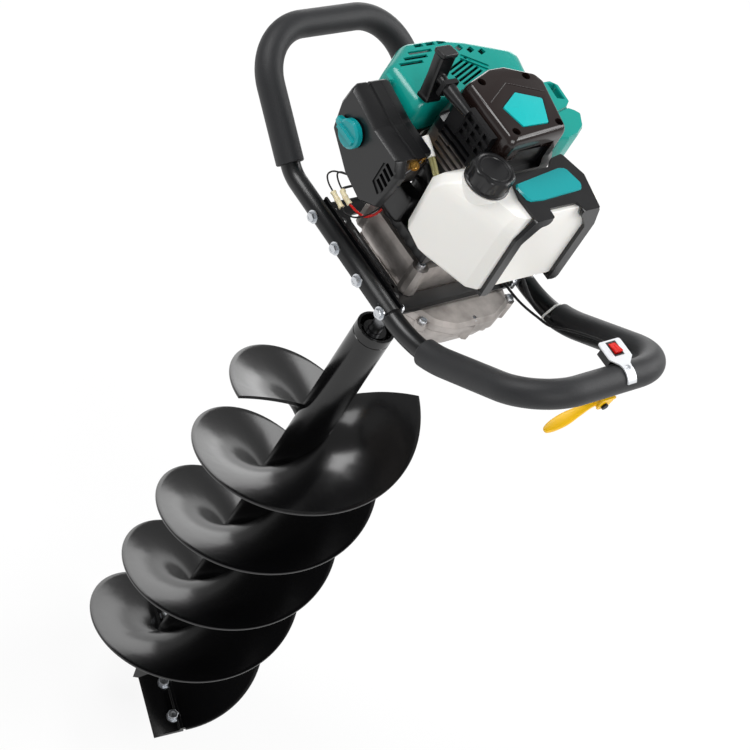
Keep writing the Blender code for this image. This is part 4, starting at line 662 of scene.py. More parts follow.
def braided_cord():
    """Braided polyester starter cord, black: strands of 1.6 mm cross on two slanted sets of waves."""
    made = new_finish("braided polyester cord", "#17171a", 0.75)
    tree, shader, place = parts_of(made)
    axes = add_node(tree, "SeparateXYZ", {"Vector": place})
    height = []
    for sign in (-1.0, 1.0):
        slant = add_node(tree, "Math", {0: axes.outputs["Z"], 1: sign * 1.4, 2: axes.outputs["X"]},
                         operation="MULTIPLY_ADD")
        wave = add_node(tree, "Math", {0: slant.outputs[0], 1: math.tau / 0.0016}, operation="MULTIPLY")
        height.append(add_node(tree, "Math", {0: wave.outputs[0]}, operation="SINE").outputs[0])
    braid = add_node(tree, "Math", {0: height[0], 1: height[1]}, operation="MAXIMUM")
    bump = add_node(tree, "Bump", {"Height": braid.outputs[0], "Strength": 0.5, "Distance": 0.0003})
    tree.links.new(bump.outputs["Normal"], shader.inputs["Normal"])
    return made


rope_line = np.linspace(GUIDE_AT + (0.0100, 0, 0), HANDLE_AT + (0.0050, 0, 0), 30)
ROPE_HELD = tuple(GUIDE_AT - (0.0030, 0, 0))
ROPE_PULLED = tuple(HANDLE_AT + (0.0150, 0, 0))
rope = skin("starter_cord", swept(rope_line, 0.0017, 20), braided_cord(), None)
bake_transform(rope, "frame", "starter_handle", start=ROPE_HELD, end=ROPE_PULLED)
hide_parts("starter_rope")

FILTER_FRONT = [(-0.103, 0.127), (-0.056, 0.100), (-0.021, 0.092), (-0.001, 0.104), (0.004, 0.132),
                (0.007, 0.158), (-0.003, 0.176), (-0.050, 0.177), (-0.107, 0.187), (-0.110, 0.160)]
FILTER_BACK = [(-0.103, 0.127), (-0.056, 0.100), (-0.049, 0.100), (-0.003, 0.176), (-0.050, 0.177),
               (-0.107, 0.187), (-0.110, 0.160)]
FILTER_ROOM = [(-0.098, 0.130), (-0.056, 0.106), (-0.050, 0.106), (-0.0125, 0.168), (-0.050, 0.1715),
               (-0.102, 0.181), (-0.105, 0.160)]
FILTER_BACK_Y = -0.0860
FILTER_DEPTH = 0.0520
FILTER_LIP = 0.0400


def facing_near(grid):
    """A grid drawn in plan and height, laid so that its plan stands upright and its height runs nearer."""
    return np.stack([grid[..., 0], FILTER_BACK_Y - grid[..., 2], grid[..., 1]], -1)


def filter_case():
    """The filter's cover: a groove round it, a bevelled front with a sunk intake and four slots, and
    behind that a back that is cut away under its right side."""
    outline = plan(FILTER_FRONT, 0.004)
    waist = drawn_in(outline, 0.955)
    base = stacked((outline, 0.0123), (outline, 0.0260), (waist, 0.0270), (waist, 0.0300), (outline, 0.0310),
                   (outline, FILTER_DEPTH - 0.010), (drawn_in(outline, 0.95), FILTER_DEPTH - 0.003),
                   (drawn_in(outline, 0.90), FILTER_DEPTH))
    room = plan(FILTER_ROOM, 0.003)
    under = [(-0.0683, 0.0680), (0.0517, -0.0020), (0.1273, 0.1230), (0.0073, 0.1930)]
    intake = [(-0.0190, 0.1290), (-0.0050, 0.1230), (0.0005, 0.1400), (0.0005, 0.1620), (-0.0100, 0.1660),
              (-0.0190, 0.1580)]
    slots = [box_grid((0.0150, 0.0050, 0.0300), (-0.0085, 0.1335 + 0.0080 * k, FILTER_DEPTH + 0.0090), -14)
             for k in range(4)]
    bolt_hole = rod_grid((-0.071, 0.148, FILTER_DEPTH - 0.020), (-0.071, 0.148, FILTER_DEPTH + 0.010), 0.0045)
    cuts = [[prism(room, 0.0, FILTER_DEPTH - 0.004)], [prism(under, 0.0, FILTER_LIP)], slots + [bolt_hole],
            [prism(intake, FILTER_DEPTH - 0.0016, FILTER_DEPTH + 0.0100)]]
    return carved("filter_case", facing_near(base),
                  [("DIFFERENCE", [facing_near(grid) for grid in grids]) for grids in cuts])


shaped("filter_cover", "filter_case", filter_case(), BLACK_NYLON, 0.0012, 3)


def filter_back():
    """The back plate that the cover closes on: the air's pipe stands on it, and the knob's stud."""
    outline = plan(FILTER_BACK, 0.004)
    base = stacked((drawn_in(outline, 0.96), 0.0), (outline, 0.0040), (outline, 0.0120))
    return carved("filter_back", facing_near(base), [
        ("UNION", [rod_grid((-0.045, -0.0980, 0.120), (-0.045, -0.0850, 0.120), 0.0140)]),
        ("DIFFERENCE", [rod_grid((-0.045, -0.1200, 0.120), (-0.045, -0.0600, 0.120), 0.0100)]),
        ("UNION", [rod_grid((-0.071, -0.0900, 0.148), (-0.071, -0.1395, 0.148), 0.0036)])])


shaped("filter_base", "filter_back", filter_back(), BLACK_NYLON, 0.0008)


def guard_mesh():
    """The tank's guard: a top plate and two straps that flare into it, down the tank's right face and
    under its foot. The straps' outlines are drawn in Y and Z."""
    top = plan([(0.0880, -0.0470), (0.1220, -0.0460), (0.1220, -0.0200), (0.1090, -0.0190),
                (0.1090, 0.0240), (0.1220, 0.0260), (0.1220, 0.0480), (0.0760, 0.0600), (0.0440, 0.0500),
                (0.0470, 0.0320), (0.0575, 0.0200), (0.0575, -0.0380)], 0.003)
    near = plan([(-0.0460, 0.2005), (-0.0600, 0.1720), (-0.0570, 0.0805), (-0.0440, 0.0805),
                 (-0.0470, 0.1640), (-0.0330, 0.1880), (-0.0220, 0.1900), (-0.0210, 0.2005)], 0.0060)
    far = plan([(0.0230, 0.2005), (0.0250, 0.1900), (0.0330, 0.1860), (0.0440, 0.1700), (0.0460, 0.0805),
                (0.0600, 0.0805), (0.0580, 0.1720), (0.0480, 0.2005)], 0.0060)
    straps = [[np.roll(prism(outline, 0.1173, 0.1220), 1, -1)] for outline in (near, far)]
    feet = [box_grid((0.0340, 0.0120, 0.0036), (0.1045, -0.0505, 0.0823)),
            box_grid((0.0340, 0.0130, 0.0036), (0.1045, 0.0530, 0.0823))]
    return carved("guard", prism(top, 0.1972, 0.2005), [("UNION", grids) for grids in (*straps, feet)])


shaped("tank_guard", "guard", guard_mesh(), BLACK_NYLON, 0.0010)
softened("switch_body", BLACK_NYLON, 0.0005)


# Starter cover. The recoil starter's top cover is a brown-grey ABS moulding with a plain five-sided
# badge plate let into its middle and four screws sunk in its corners.

# Brown-grey ABS: satin, with a mould grain of 0.3 mm drawn at 0.9 mm.
BROWN_ABS = new_finish("brown-grey moulded ABS", "#1f1614", 0.14, mottle=(0.03, 3.0, 0.1, 0.2),
                       relief=[(0.0009, 2.0, 0.05, 0.0003)])
CAP_AT = (0.058, -0.071)
COVER_SCREWS = [(-0.037, -0.033), (0.034, -0.036), (0.032, 0.029), (-0.035, 0.031)]
COVER_SCREW_SEAT = 0.2301
BADGE_PLAN = plan([(0.001, -0.031), (0.030, -0.023), (0.031, 0.014), (-0.002, 0.030), (-0.016, -0.001)],
                  0.002)


def top_cover():
    """The cover: a dome in two steps that fall away from the badge like arrowheads, hollow, with a
    recess at each screw, an arched opening at its right and room for the fuel cap."""
    outline = plan([(-0.041, -0.0515), (0.043, -0.0510), (0.0475, -0.0450), (0.0420, 0.0360), (-0.026, 0.053),
                    (-0.038, 0.049), (-0.055, 0.011), (-0.055, -0.011)], 0.006)
    base = stacked((outline, 0.2120), (outline, 0.2290),
                   *[(drawn_in(outline, 1 - 0.11 * (1 - math.cos(a))), 0.2290 + 0.0130 * math.sin(a))
                     for a in np.radians([18, 36, 54, 72, 90])])
    arrow = np.array([(-0.016, -0.004), (0.0200, -0.0675), (-0.0800, -0.0675), (-0.0800, 0.0625),
                      (0.0140, 0.0625)])
    moved = np.array([(1, 0), (1, 0), (0, 0), (0, 0), (1, 0)])
    steps = [prism(arrow + moved * shift, height, 0.2440)
             for shift, height in ((-0.0140, 0.2412), (-0.0230, 0.2404))]
    hollow = drawn_in(outline, 0.90)
    return carved("top_cover", base, [
        ("DIFFERENCE", [steps[0]]), ("DIFFERENCE", [steps[1]]),
        ("DIFFERENCE", [prism(hollow, 0.2020, 0.2370)]),
        ("UNION", [rod_grid((x, y, 0.2123), (x, y, 0.2385), 0.0070) for x, y in COVER_SCREWS]),
        ("DIFFERENCE", [rod_grid((x, y, 0.2300), (x, y, 0.2500), 0.0050) for x, y in COVER_SCREWS]),
        ("DIFFERENCE", [prism(drawn_in(BADGE_PLAN, 1.03), 0.2400, 0.2500),
                        box_grid((0.0200, 0.0560, 0.0160), (0.0480, -0.0040, 0.2170)),
                        rod_grid((*CAP_AT, 0.2050), (*CAP_AT, 0.2205), 0.0270, sides=64)])])


shaped("starter_cover", "top_cover", top_cover(), BROWN_ABS, 0.0012, 3)
fasteners("starter_cover_screws", socket_head(0.0044, 0.0034, 0.0036),
          [facing((x, y, COVER_SCREW_SEAT)) for x, y in COVER_SCREWS], BLACK_OXIDE, "frame")

STEP_LINES = [(-0.0140, 0.2419), (-0.0185, 0.2411), (-0.0230, 0.2411), (-0.0275, 0.2403)]
LINE_HALF_WIDTH = 0.00065
LINE_HEIGHT = 0.00060


def chevron_surface(shift, height):
    """A moulded line on the cover: a low half-round ridge carried along an arrowhead whose corner
    points away from the badge."""
    corners = [(0.0055 + shift, -0.0420, height), (-0.0160 + shift, -0.0040, height),
               (0.0040 + shift, 0.0405, height)]
    line = arc_route(corners, [0.0030], 0.0006)
    turn = np.linspace(0, math.tau, 12, endpoint=False)
    along = np.gradient(line, axis=0)
    along /= np.linalg.norm(along, axis=1)[:, None]
    aside = np.cross(along, [0.0, 0.0, 1.0])
    across = LINE_HALF_WIDTH * np.cos(turn)[:, None] * aside[:, None, :]
    over = LINE_HEIGHT * np.sin(turn)[:, None] * np.array([0.0, 0.0, 1.0])
    return (line[:, None, :] + across + over)[:, ::-1]


for k, (shift, height) in enumerate(STEP_LINES):
    skin("cover_line_%d" % (k + 1), chevron_surface(shift, height), BROWN_ABS, "frame")


# Teal mouldings. The cylinder's shroud, the hot-air duct, the guard's inlay, the badge plate and two
# knobs are gloss ABS coloured in the mass, with the soft waviness of a polished mould.

def teal_abs(label, colour):
    """Gloss ABS in teal: a polished mould gives sharp highlights with a slow waviness."""
    return new_finish("gloss teal ABS, " + label, colour, 0.2, mottle=(0.008, 5.0, 0.14, 0.3),
                      relief=[(0.02, 1.0, 0.08, 0.001)])


TEAL_ABS = teal_abs("housings", "#0a958a")
TEAL_TRIM = teal_abs("trim", "#069599")


def slotted_shroud():
    """The shroud: a domed shell over the cylinder, with slots that let the fan's air out."""
    outline = plan(SHROUD_PLAN, 0.011)
    base = stacked((outline, 0.1475), (outline, 0.1700),
                   *[(drawn_in(outline, 1 - 0.17 * (1 - math.cos(a)), SHROUD_MIDDLE),
                      0.1700 + 0.0200 * math.sin(a)) for a in np.radians([15, 30, 45, 60, 75, 90])])
    hollow = stacked(*[(drawn_in(outline, factor, SHROUD_MIDDLE), z) for factor, z in (
        ((0.93, 0.965), 0.1400), ((0.93, 0.965), 0.1710), ((0.89, 0.93), 0.1815), ((0.80, 0.84), 0.1870))])
    slots = [box_grid((0.0042, 0.0340, 0.0300), (-0.1310 + 0.0068 * k, -0.0240 - 0.0110 * k, 0.1850))
             for k in range(3)]
    slots += [box_grid((0.0032, 0.0420, 0.0300), (-0.1060 + 0.0052 * k, 0.0130 + 0.0020 * k, 0.1850), 21)
              for k in range(5)]
    slots += [box_grid((0.0065, 0.0095, 0.0300), (-0.1280 + 0.0050 * k, 0.0320 + 0.0135 * k, 0.1850), 20)
              for k in range(3)]
    slots += [box_grid((0.0050, 0.0125, 0.0300), (-0.1400, -0.0200 + 0.0170 * k, 0.1900)) for k in range(3)]
    ridges = [box_grid((0.0012, 0.0340, 0.0030), (-0.1075 + 0.0050 * k, 0.0400 - 0.0040 * k, 0.1902), -38)
              for k in range(2)]
    return carved("slotted_shroud", base, [("DIFFERENCE", [hollow]), ("DIFFERENCE", slots),
                                           ("UNION", ridges)])


shaped("cylinder_shroud", "slotted_shroud", slotted_shroud(), TEAL_ABS, 0.0010, 3)


def hot_air_duct():
    """The duct on the far side: a shell with a slanted window and a groove where its two levels meet."""
    outline = plan([(-0.0575, 0.0640), (0.0240, 0.0640), (0.0260, 0.0790), (0.0220, 0.0960), (0.0130, 0.1110),
                    (-0.0040, 0.1210), (-0.0100, 0.1160), (-0.0160, 0.1070), (-0.0240, 0.1180),
                    (-0.0500, 0.1200), (-0.0575, 0.1120)], 0.003)
    middle = (-0.012, 0.090)
    base = stacked((outline, 0.1620), (outline, 0.1950), (drawn_in(outline, 0.94, middle), 0.1990))
    hollow = drawn_in(outline, 0.88, middle)
    window = np.array([(-0.0530, 0.1050), (-0.0300, 0.1030), (-0.0270, 0.1130), (-0.0500, 0.1150)])
    return carved("hot_air_duct", base, [
        ("DIFFERENCE", [prism(hollow, 0.1500, 0.1960)]), ("DIFFERENCE", [prism(window, 0.1900, 0.2100)]),
        ("DIFFERENCE", [box_grid((0.0030, 0.0600, 0.0040), (-0.0140, 0.1000, 0.1990), 12)])])


shaped("muffler_cover", "hot_air_duct", hot_air_duct(), TEAL_ABS, 0.0010, 3)
softened("guard_inlay", TEAL_TRIM, 0.0006)
softened("starter_badge_plate", teal_abs("badge plate", "#10b3b4"), 0.0004)
softened("filter_knob", TEAL_TRIM, 0.0010)
softened("choke_lever", TEAL_ABS, 0.0006)
softened("muffler", GROUND_STEEL, 0.0010)
softened("carburettor", CAST_ALUMINIUM, 0.0008)


# Turned brass, slightly dulled.
BRASS = new_finish("turned brass", "#c99a4e", 0.3, 1.0, mottle=(0.003, 3.0, 0.22, 0.4))
softened("throttle_arm", BRASS, 0.0003)
ELEMENT_PLAN = drawn_in(plan(FILTER_ROOM, 0.003), 0.94)
pad = facing_near(prism(ELEMENT_PLAN, 0.0150, 0.0440))
shaped("filter_element", "filter_pad", grid_mesh("filter_pad", [pad]), GRIP_FOAM, 0.0010)


def spline_route(points, count):
    """A Catmull-Rom line through a route's points: each stretch is the cubic that passes its two ends
    with the slope of its neighbours."""
    knots = np.array(points, float)
    knots = np.concatenate([[2 * knots[0] - knots[1]], knots, [2 * knots[-1] - knots[-2]]])
    t = np.linspace(0, len(points) - 1, count)
    k = np.minimum(t.astype(int), len(points) - 2)
    u = (t - k)[:, None]
    a, b, c, d = (knots[k + n] for n in range(4))
    return 0.5 * (2 * b + (c - a) * u + (2 * a - 5 * b + 4 * c - d) * u ** 2
                  + (3 * b - a - 3 * c + d) * u ** 3)


NIPPLE_ROUTE = [(-0.0295, -0.0745, 0.1230), (-0.0255, -0.0770, 0.1290), (-0.0215, -0.0800, 0.1375)]
NUT_PLACE = facing((-0.0222, -0.0796, 0.1362), (0.3, -0.6, 0.74))
skin("impulse_nipple", swept(spline_route(NIPPLE_ROUTE, 24), 0.0026, 24), BRASS, "frame")
fasteners("impulse_nut", hex_head(0.0088, 0.0040, 0.0056, 0.0012), [NUT_PLACE], BRASS, "frame")

BOOT_ROUTE = [(-0.0330, -0.0780, 0.1000), (-0.0345, -0.0785, 0.0940), (-0.0390, -0.0785, 0.0760),
              (-0.0430, -0.0765, 0.0600), (-0.0445, -0.0720, 0.0500), (-0.0440, -0.0650, 0.0470)]
BOOT_SHAPE = ([0, 0.06, 0.2, 0.55, 0.7, 1.0], [0.0040, 0.0058, 0.0066, 0.0044, 0.0030, 0.0028])


def boot_surface():
    """The return wire's boot: a tube that swells near its upper end, with ribs over its wide part."""
    share = np.linspace(0, 1, 90)
    ribs = 0.0004 * np.cos(share * 13 * math.tau) * (share < 0.6)
    return swept(spline_route(BOOT_ROUTE, 90), np.interp(share, *BOOT_SHAPE) + ribs, 28)


skin("return_wire_boot", boot_surface(), SOFT_RUBBER, "frame")

RETURN_WIRE = [(-0.0332, -0.0780, 0.0980), (-0.0290, -0.0800, 0.1120), (-0.0235, -0.0790, 0.1300),
               (-0.0225, -0.0740, 0.1405), (-0.0240, -0.0700, 0.1425)]
wire = skin("return_wire", swept(spline_route(RETURN_WIRE, 60), 0.0008, 12), GROUND_STEEL, None)
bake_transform(wire, "frame", "throttle_arm", start=(-0.0290, -0.0800, 0.1120), end=(-0.0228, -0.0735, 0.1410))


# Fuel tank. The tank is blow-moulded natural polyethylene, waxy and translucent, with a black screw
# cap on its neck and a clear pipe that leads up to the carburettor.

# Natural HDPE: milky white, light passes a few millimetres into it and its surface is waxy.
POLYETHYLENE = new_finish("natural polyethylene", "#f7f5f0", 0.36, relief=[(0.010, 3.0, 0.12, 0.001)], more={
    "Subsurface Weight": 0.2, "Subsurface Radius": (0.006, 0.005, 0.004), "Subsurface Scale": 1.0})
TANK_X = 0.117


def tank_surface():
    """The tank through seven outlines: an upright near face that slants back to the right, a chamfer
    at its left edge, a foot drawn in and a shoulder that slopes up to the neck."""
    levels = []
    for z, left, shrink, lean in ((0.0855, 0.0400, 0.0030, 0.0), (0.0890, 0.0360, 0.0, 0.0),
                                  (0.1010, 0.0190, 0.0, 0.0), (0.1660, 0.0165, 0.0, 0.0),
                                  (0.1790, 0.0230, 0.0, 0.0), (0.1860, 0.0290, 0.0010, 0.0020),
                                  (0.1965, 0.0360, 0.0040, 0.0070)):
        edge = left + shrink
        chamfer, near = [-0.1045 + 0.44 * (x - 0.039) + lean + shrink for x in (edge + 0.0130, 0.1080)]
        corners = [(edge, -0.0630), (edge, chamfer + 0.0100), (edge + 0.0130, chamfer), (0.1080, near),
                   (TANK_X - shrink, near + 0.0110), (TANK_X - shrink, 0.0570 - shrink),
                   (0.1100 - shrink, 0.0640 - shrink), (0.0680, 0.0640 - shrink),
                   (0.0620, 0.0580 - shrink), (0.0620, -0.0630)]
        levels.append((plan(corners, 0.0050, 5), z))
    return stacked(*levels)


seat = [rod_grid((*CAP_AT, 0.1760), (*CAP_AT, 0.1968), 0.0215, 0.0262, 64),
        rod_grid((*CAP_AT, 0.1900), (*CAP_AT, 0.2120), 0.0178, 0.0175, 64)]
shaped("fuel_tank", "blown_tank", carved("blown_tank", tank_surface(), [("UNION", seat)]), POLYETHYLENE,
       0.0024, 3)


def cap_surface():
    """The cap's outer skin over a plain round rim: eight finger lobes, where the radius is 24 mm plus
    1.1 mm times the cosine of eight turns, fade out over the rounded edge, and a ring stands on the top."""
    turn = np.linspace(0, math.tau, 192, endpoint=False)
    profile = [(0.0192, 0.1975), (0.0252, 0.1975), (0.0258, 0.1981), (0.0258, 0.1998), (0.0251, 0.2004),
               (0.0241, 0.2008), (0.0240, 0.2016), (0.0239, 0.2160), (0.0236, 0.2178), (0.0226, 0.2190),
               (0.0210, 0.2194), (0.0200, 0.2192), (0.0192, 0.2184), (0.0184, 0.2182), (0.0176, 0.2184),
               (0.0170, 0.2192), (0.0158, 0.2192), (0.0152, 0.2184), (0.0080, 0.2182), (0.0001, 0.2182)]
    lobes = np.zeros(len(profile))
    lobes[5:10] = (0.3, 1.0, 1.0, 0.8, 0.3)
    rows = [(r + 0.0011 * lobe * np.cos(8 * turn), z) for (r, z), lobe in zip(profile, lobes)]
    return ringed(rows, turn) + (*CAP_AT, 0)


cap = skin("fuel_cap_lobed", cap_surface(), BLACK_NYLON, "fuel_cap")
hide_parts("fuel_cap")


FUEL_ROUTE = [(0.0160, -0.0780, 0.1500), (0.0080, -0.0775, 0.1510), (-0.0100, -0.0740, 0.1570),
              (-0.0350, -0.0735, 0.1680)]

# Plasticised PVC fuel pipe: clear with a yellow tint from the fuel.
CLEAR_PIPE = new_finish("clear fuel pipe", "#e8e2a8", 0.15, mottle=(0.004, 2.0, 0.1, 0.25),
                        more={"Transmission Weight": 0.55, "IOR": 1.48})
for label, aside in (("feed", -0.0019), ("return", 0.0019)):
    line = spline_route(FUEL_ROUTE, 40) + np.array([0.0, 0.7, 0.7]) * aside
    pipe = skin("fuel_pipe_" + label, swept(line, 0.0018, 24), CLEAR_PIPE, "frame")
    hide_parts("fuel_line")

UPPER_END = spline_route(FUEL_ROUTE, 40)[-12:]
skin("fuel_pipe_sleeve", swept(UPPER_END, 0.0046, 32), POLYETHYLENE, "frame")


# Controls. The throttle lever and its clamp are yellow nylon on a screw under the right-hand bar, and
# the stop switch is a red rocker in a black body, held by a bent zinc-plated strap.

# Yellow nylon: satin, slightly see-through at thin edges.
YELLOW_NYLON = new_finish("moulded yellow nylon", "#ffc814", 0.34, relief=[(0.0012, 2.0, 0.1, 0.0003)], more={
    "Subsurface Weight": 0.05, "Subsurface Radius": (0.002, 0.001, 0.0004)})
softened("lever_bracket", YELLOW_NYLON, 0.0006)
softened("lever_pivot_screw", BLACK_OXIDE, 0.0003, 1)

BAR_X = RIGHT["bend_x"] + RIGHT["leg"] * math.cos(math.radians(RIGHT["rise"]))
BAR_Z = RIGHT["leg"] * math.sin(math.radians(RIGHT["rise"]))
LEVER_PIVOT = np.array([BAR_X + 0.0040, 0.0030, BAR_Z - GRIP_R - 0.0110])
PADDLE = [(0.0, 0.0, 0.0046), (-0.0120, -0.0050, 0.0040), (-0.0260, -0.0125, 0.0056),
          (-0.0400, -0.0205, 0.0074), (-0.0530, -0.0275, 0.0064), (-0.0610, -0.0320, 0.0036),
          (-0.0628, -0.0330, 0.0004)]


def paddle_surface():
    """The lever's paddle: a flat superellipse section carried down a line from the hub, whose half
    width swells like a leaf and closes at the round tip."""
    line = spline_route(PADDLE, 60)
    along = np.gradient(line[:, :2], axis=0)
    along /= np.linalg.norm(along, axis=1)[:, None]
    wide, high = superellipse(36, 0.7, 0.5).T
    thick = np.minimum(0.0022, line[:, 2])[:, None] * high
    y = line[:, :1] - along[:, 1:] * thick
    z = line[:, 1:2] + along[:, :1] * thick
    return np.stack([line[:, 2:] * wide, y, z], -1) + LEVER_PIVOT


hub = rod_grid(LEVER_PIVOT - (0.0052, 0, 0), LEVER_PIVOT + (0.0052, 0, 0), 0.0078, sides=48)
paddle = carved("lever_paddle", paddle_surface()[:, ::-1], [("UNION", [hub])])
shaped("throttle_lever", "lever_paddle", paddle, YELLOW_NYLON, 0.0006)


# Mild steel with a pale passivated zinc coat: nearly white, with a soft sheen.
PASSIVATED = new_finish("pale passivated zinc on steel", "#e9ebee", 0.36, 0.45,
                        mottle=(0.006, 3.0, 0.3, 0.44))
STRAP_R = GRIP_R + 0.0006
STRAP_THICK = 0.0016


def strap_mesh():
    """The strap: a plate with the switch's window narrows to a tongue that bends over the grip."""
    top = BAR_Z + STRAP_R
    outline = plan([(BAR_X - 0.0375, 0.0025), (BAR_X - 0.0140, 0.0025), (BAR_X - 0.0050, 0.0115),
                    (BAR_X + 0.0005, 0.0120), (BAR_X + 0.0005, 0.0250), (BAR_X - 0.0050, 0.0260),
                    (BAR_X - 0.0130, 0.0355), (BAR_X - 0.0375, 0.0355)], 0.0030)
    turn = np.radians(np.linspace(-1.0, 58.0, 12))
    bend = np.stack([np.sin(turn), np.cos(turn)], 1)
    section = np.concatenate([bend * STRAP_R, bend[::-1] * (STRAP_R + STRAP_THICK)]) + (BAR_X, BAR_Z)
    tongue = np.stack([np.insert(section, 1, y, 1) for y in (0.0250, 0.0120)])
    return carved("switch_strap", prism(outline, top, top + STRAP_THICK), [
        ("UNION", [tongue[:, ::-1]]),
        ("DIFFERENCE", [box_grid((0.0190, 0.0150, 0.0200), (BAR_X - 0.0260, 0.0195, top))])])


shaped("switch_plate", "switch_strap", strap_mesh(), PASSIVATED, 0.0004)
STRAP_SCREW_AT = facing((BAR_X, 0.0185, BAR_Z + STRAP_R + 0.0015))
fasteners("strap_screw", socket_head(0.0030, 0.0016, 0.0024), [STRAP_SCREW_AT], ZINC_PLATE, "frame")

# Gloss red nylon, coloured in the mass.
RED_NYLON = new_finish("moulded red nylon", "#d2160f", 0.25, mottle=(0.004, 2.0, 0.2, 0.34))
softened("switch_rocker", RED_NYLON, 0.0006)

CABLE_ROUTE = [(BAR_X - 0.0010, 0.0200, BAR_Z - 0.0250), (BAR_X - 0.0160, 0.0350, BAR_Z - 0.0240),
               (BAR_X - 0.0300, 0.0560, BAR_Z - 0.0210), (BAR_X - 0.0620, 0.0800, BAR_Z - 0.0450),
               (BAR_X - 0.1000, 0.0825, BAR_Z - 0.0740), (0.1460, 0.0825, 0.0150), (0.1265, 0.0850, 0.0091),
               (0.1000, 0.0850, 0.0070), (0.0720, 0.0780, 0.0260), (0.0560, 0.0560, 0.0620),
               (0.0550, 0.0, 0.0700), (0.0530, -0.0440, 0.0740), (0.0360, -0.0570, 0.0860),
               (0.0080, -0.0575, 0.1060),
               (-0.0060, -0.0620, 0.1250), (-0.0178, -0.0690, 0.1420)]
cable = skin("throttle_cable_sheath", swept(spline_route(CABLE_ROUTE, 300), 0.0026, 20), SOFT_RUBBER, "frame")
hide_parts("throttle_cable")

LEAD_ROUTE = [(BAR_X - 0.0260, 0.0260, BAR_Z - 0.0080), (BAR_X - 0.0300, 0.0480, BAR_Z - 0.0120),
              (BAR_X - 0.0640, 0.0730, BAR_Z - 0.0360), (BAR_X - 0.1040, 0.0760, BAR_Z - 0.0660),
              (0.1450, 0.0765, 0.0170), (0.1260, 0.0775, 0.0080), (0.0900, 0.0740, 0.0010),
              (0.0400, 0.0730, 0.0010), (-0.0600, 0.0730, 0.0010), (-0.0960, 0.0640, 0.0060),
              (-0.0980, 0.0, 0.0100),
              (-0.0960, -0.0600, 0.0160), (-0.0840, -0.0800, 0.0260), (-0.0640, -0.0800, 0.0240),
              (-0.0480, -0.0740, 0.0240), (-0.0400, -0.0690, 0.0340), (-0.0380, -0.0640, 0.0460)]
lead_line = spline_route(LEAD_ROUTE, 300)
CONNECTOR = slice(223, 241)
for label, stretch, finish, slot in (("sheath", lead_line[:226], SOFT_RUBBER, "rubber"),
                                     ("red_end", lead_line[238:], RED_NYLON, "red_plastic")):
    lead = skin("stop_switch_" + label, swept(stretch, 0.0015, 16), finish, "frame")
    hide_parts("stop_switch_lead")


# Natural nylon of the push-on connectors' sleeves: cream, slightly see-through.
CREAM_NYLON = new_finish("natural nylon sleeve", "#e8dcb8", 0.38, mottle=(0.003, 2.0, 0.3, 0.46), more={
    "Subsurface Weight": 0.15, "Subsurface Radius": (0.002, 0.0015, 0.001)})


def sleeve_surface(line):
    """A connector's sleeve: a round tube that swells to a collar at each end and at its middle."""
    share = np.linspace(0, 1, len(line))
    collar = np.maximum.reduce([np.exp(-((share - c) / 0.07) ** 2) for c in (0.04, 0.5, 0.96)])
    return swept(line, 0.0030 + 0.0006 * collar, 28)


SECOND_SLEEVE = [(-0.0900, -0.0880, 0.0215), (-0.0690, -0.0880, 0.0180)]
for label, line in (("live", lead_line[CONNECTOR]), ("earth", np.linspace(*np.array(SECOND_SLEEVE), 24))):
    skin("connector_sleeve_" + label, sleeve_surface(line), CREAM_NYLON, "frame")

CONNECTOR_WIRES = {
    "earth_over": [(-0.0890, -0.0880, 0.0214), (-0.1010, -0.0880, 0.0235), (-0.1090, -0.0865, 0.0280),
                   (-0.1075, -0.0840, 0.0350), (-0.1000, -0.0815, 0.0410), (-0.0880, -0.0780, 0.0480),
                   (-0.0700, -0.0690, 0.0560), (-0.0490, -0.0480, 0.0600)],
    "live_over": [(-0.0850, -0.0800, 0.0264), (-0.0970, -0.0800, 0.0300), (-0.1035, -0.0790, 0.0345),
                  (-0.1000, -0.0770, 0.0400), (-0.0860, -0.0730, 0.0450), (-0.0660, -0.0630, 0.0520),
                  (-0.0480, -0.0460, 0.0560)],
    "earth_end": [(-0.0700, -0.0880, 0.0182), (-0.0600, -0.0880, 0.0180), (-0.0500, -0.0840, 0.0220),
                  (-0.0435, -0.0760, 0.0310), (-0.0405, -0.0680, 0.0420), (-0.0400, -0.0610, 0.0500)],
}
for label, points in CONNECTOR_WIRES.items():
    skin("wire_" + label, swept(spline_route(points, 80), 0.0010, 12), SOFT_RUBBER, "frame")
softened("cable_tie", POLYETHYLENE, 0.0003, 1)


# Drill. A welded steel drill in gloss black enamel: a tube, two right-hand flights that start
# opposite each other, a bolted blade at the foot of each, and a forked point.

# Baked gloss enamel: deep black under a clear surface, slightly wavy over the rolled plate.
GLOSS_ENAMEL = new_finish("baked gloss enamel", "#060607", 0.2,
                          relief=[(0.03, 2.0, 0.15, 0.002), (0.0025, 1.0, 0.05, 0.0003)])
FLIGHT_R = 0.125
FLIGHT_TOP = -0.272
FLIGHT_BOTTOM = -0.849
FLIGHT_LEAD = 0.2558
FLIGHT_TOP_ANGLE = 75.0
FLIGHT_TURN = (FLIGHT_TOP - FLIGHT_BOTTOM) / FLIGHT_LEAD * 360.0
FLIGHT_THICK = 0.004
FLIGHT_DISH = 0.018
FOOT_TILT = 23.0
BLADE_BOLT_SEAT = 0.0064
DRILL_R = 0.024


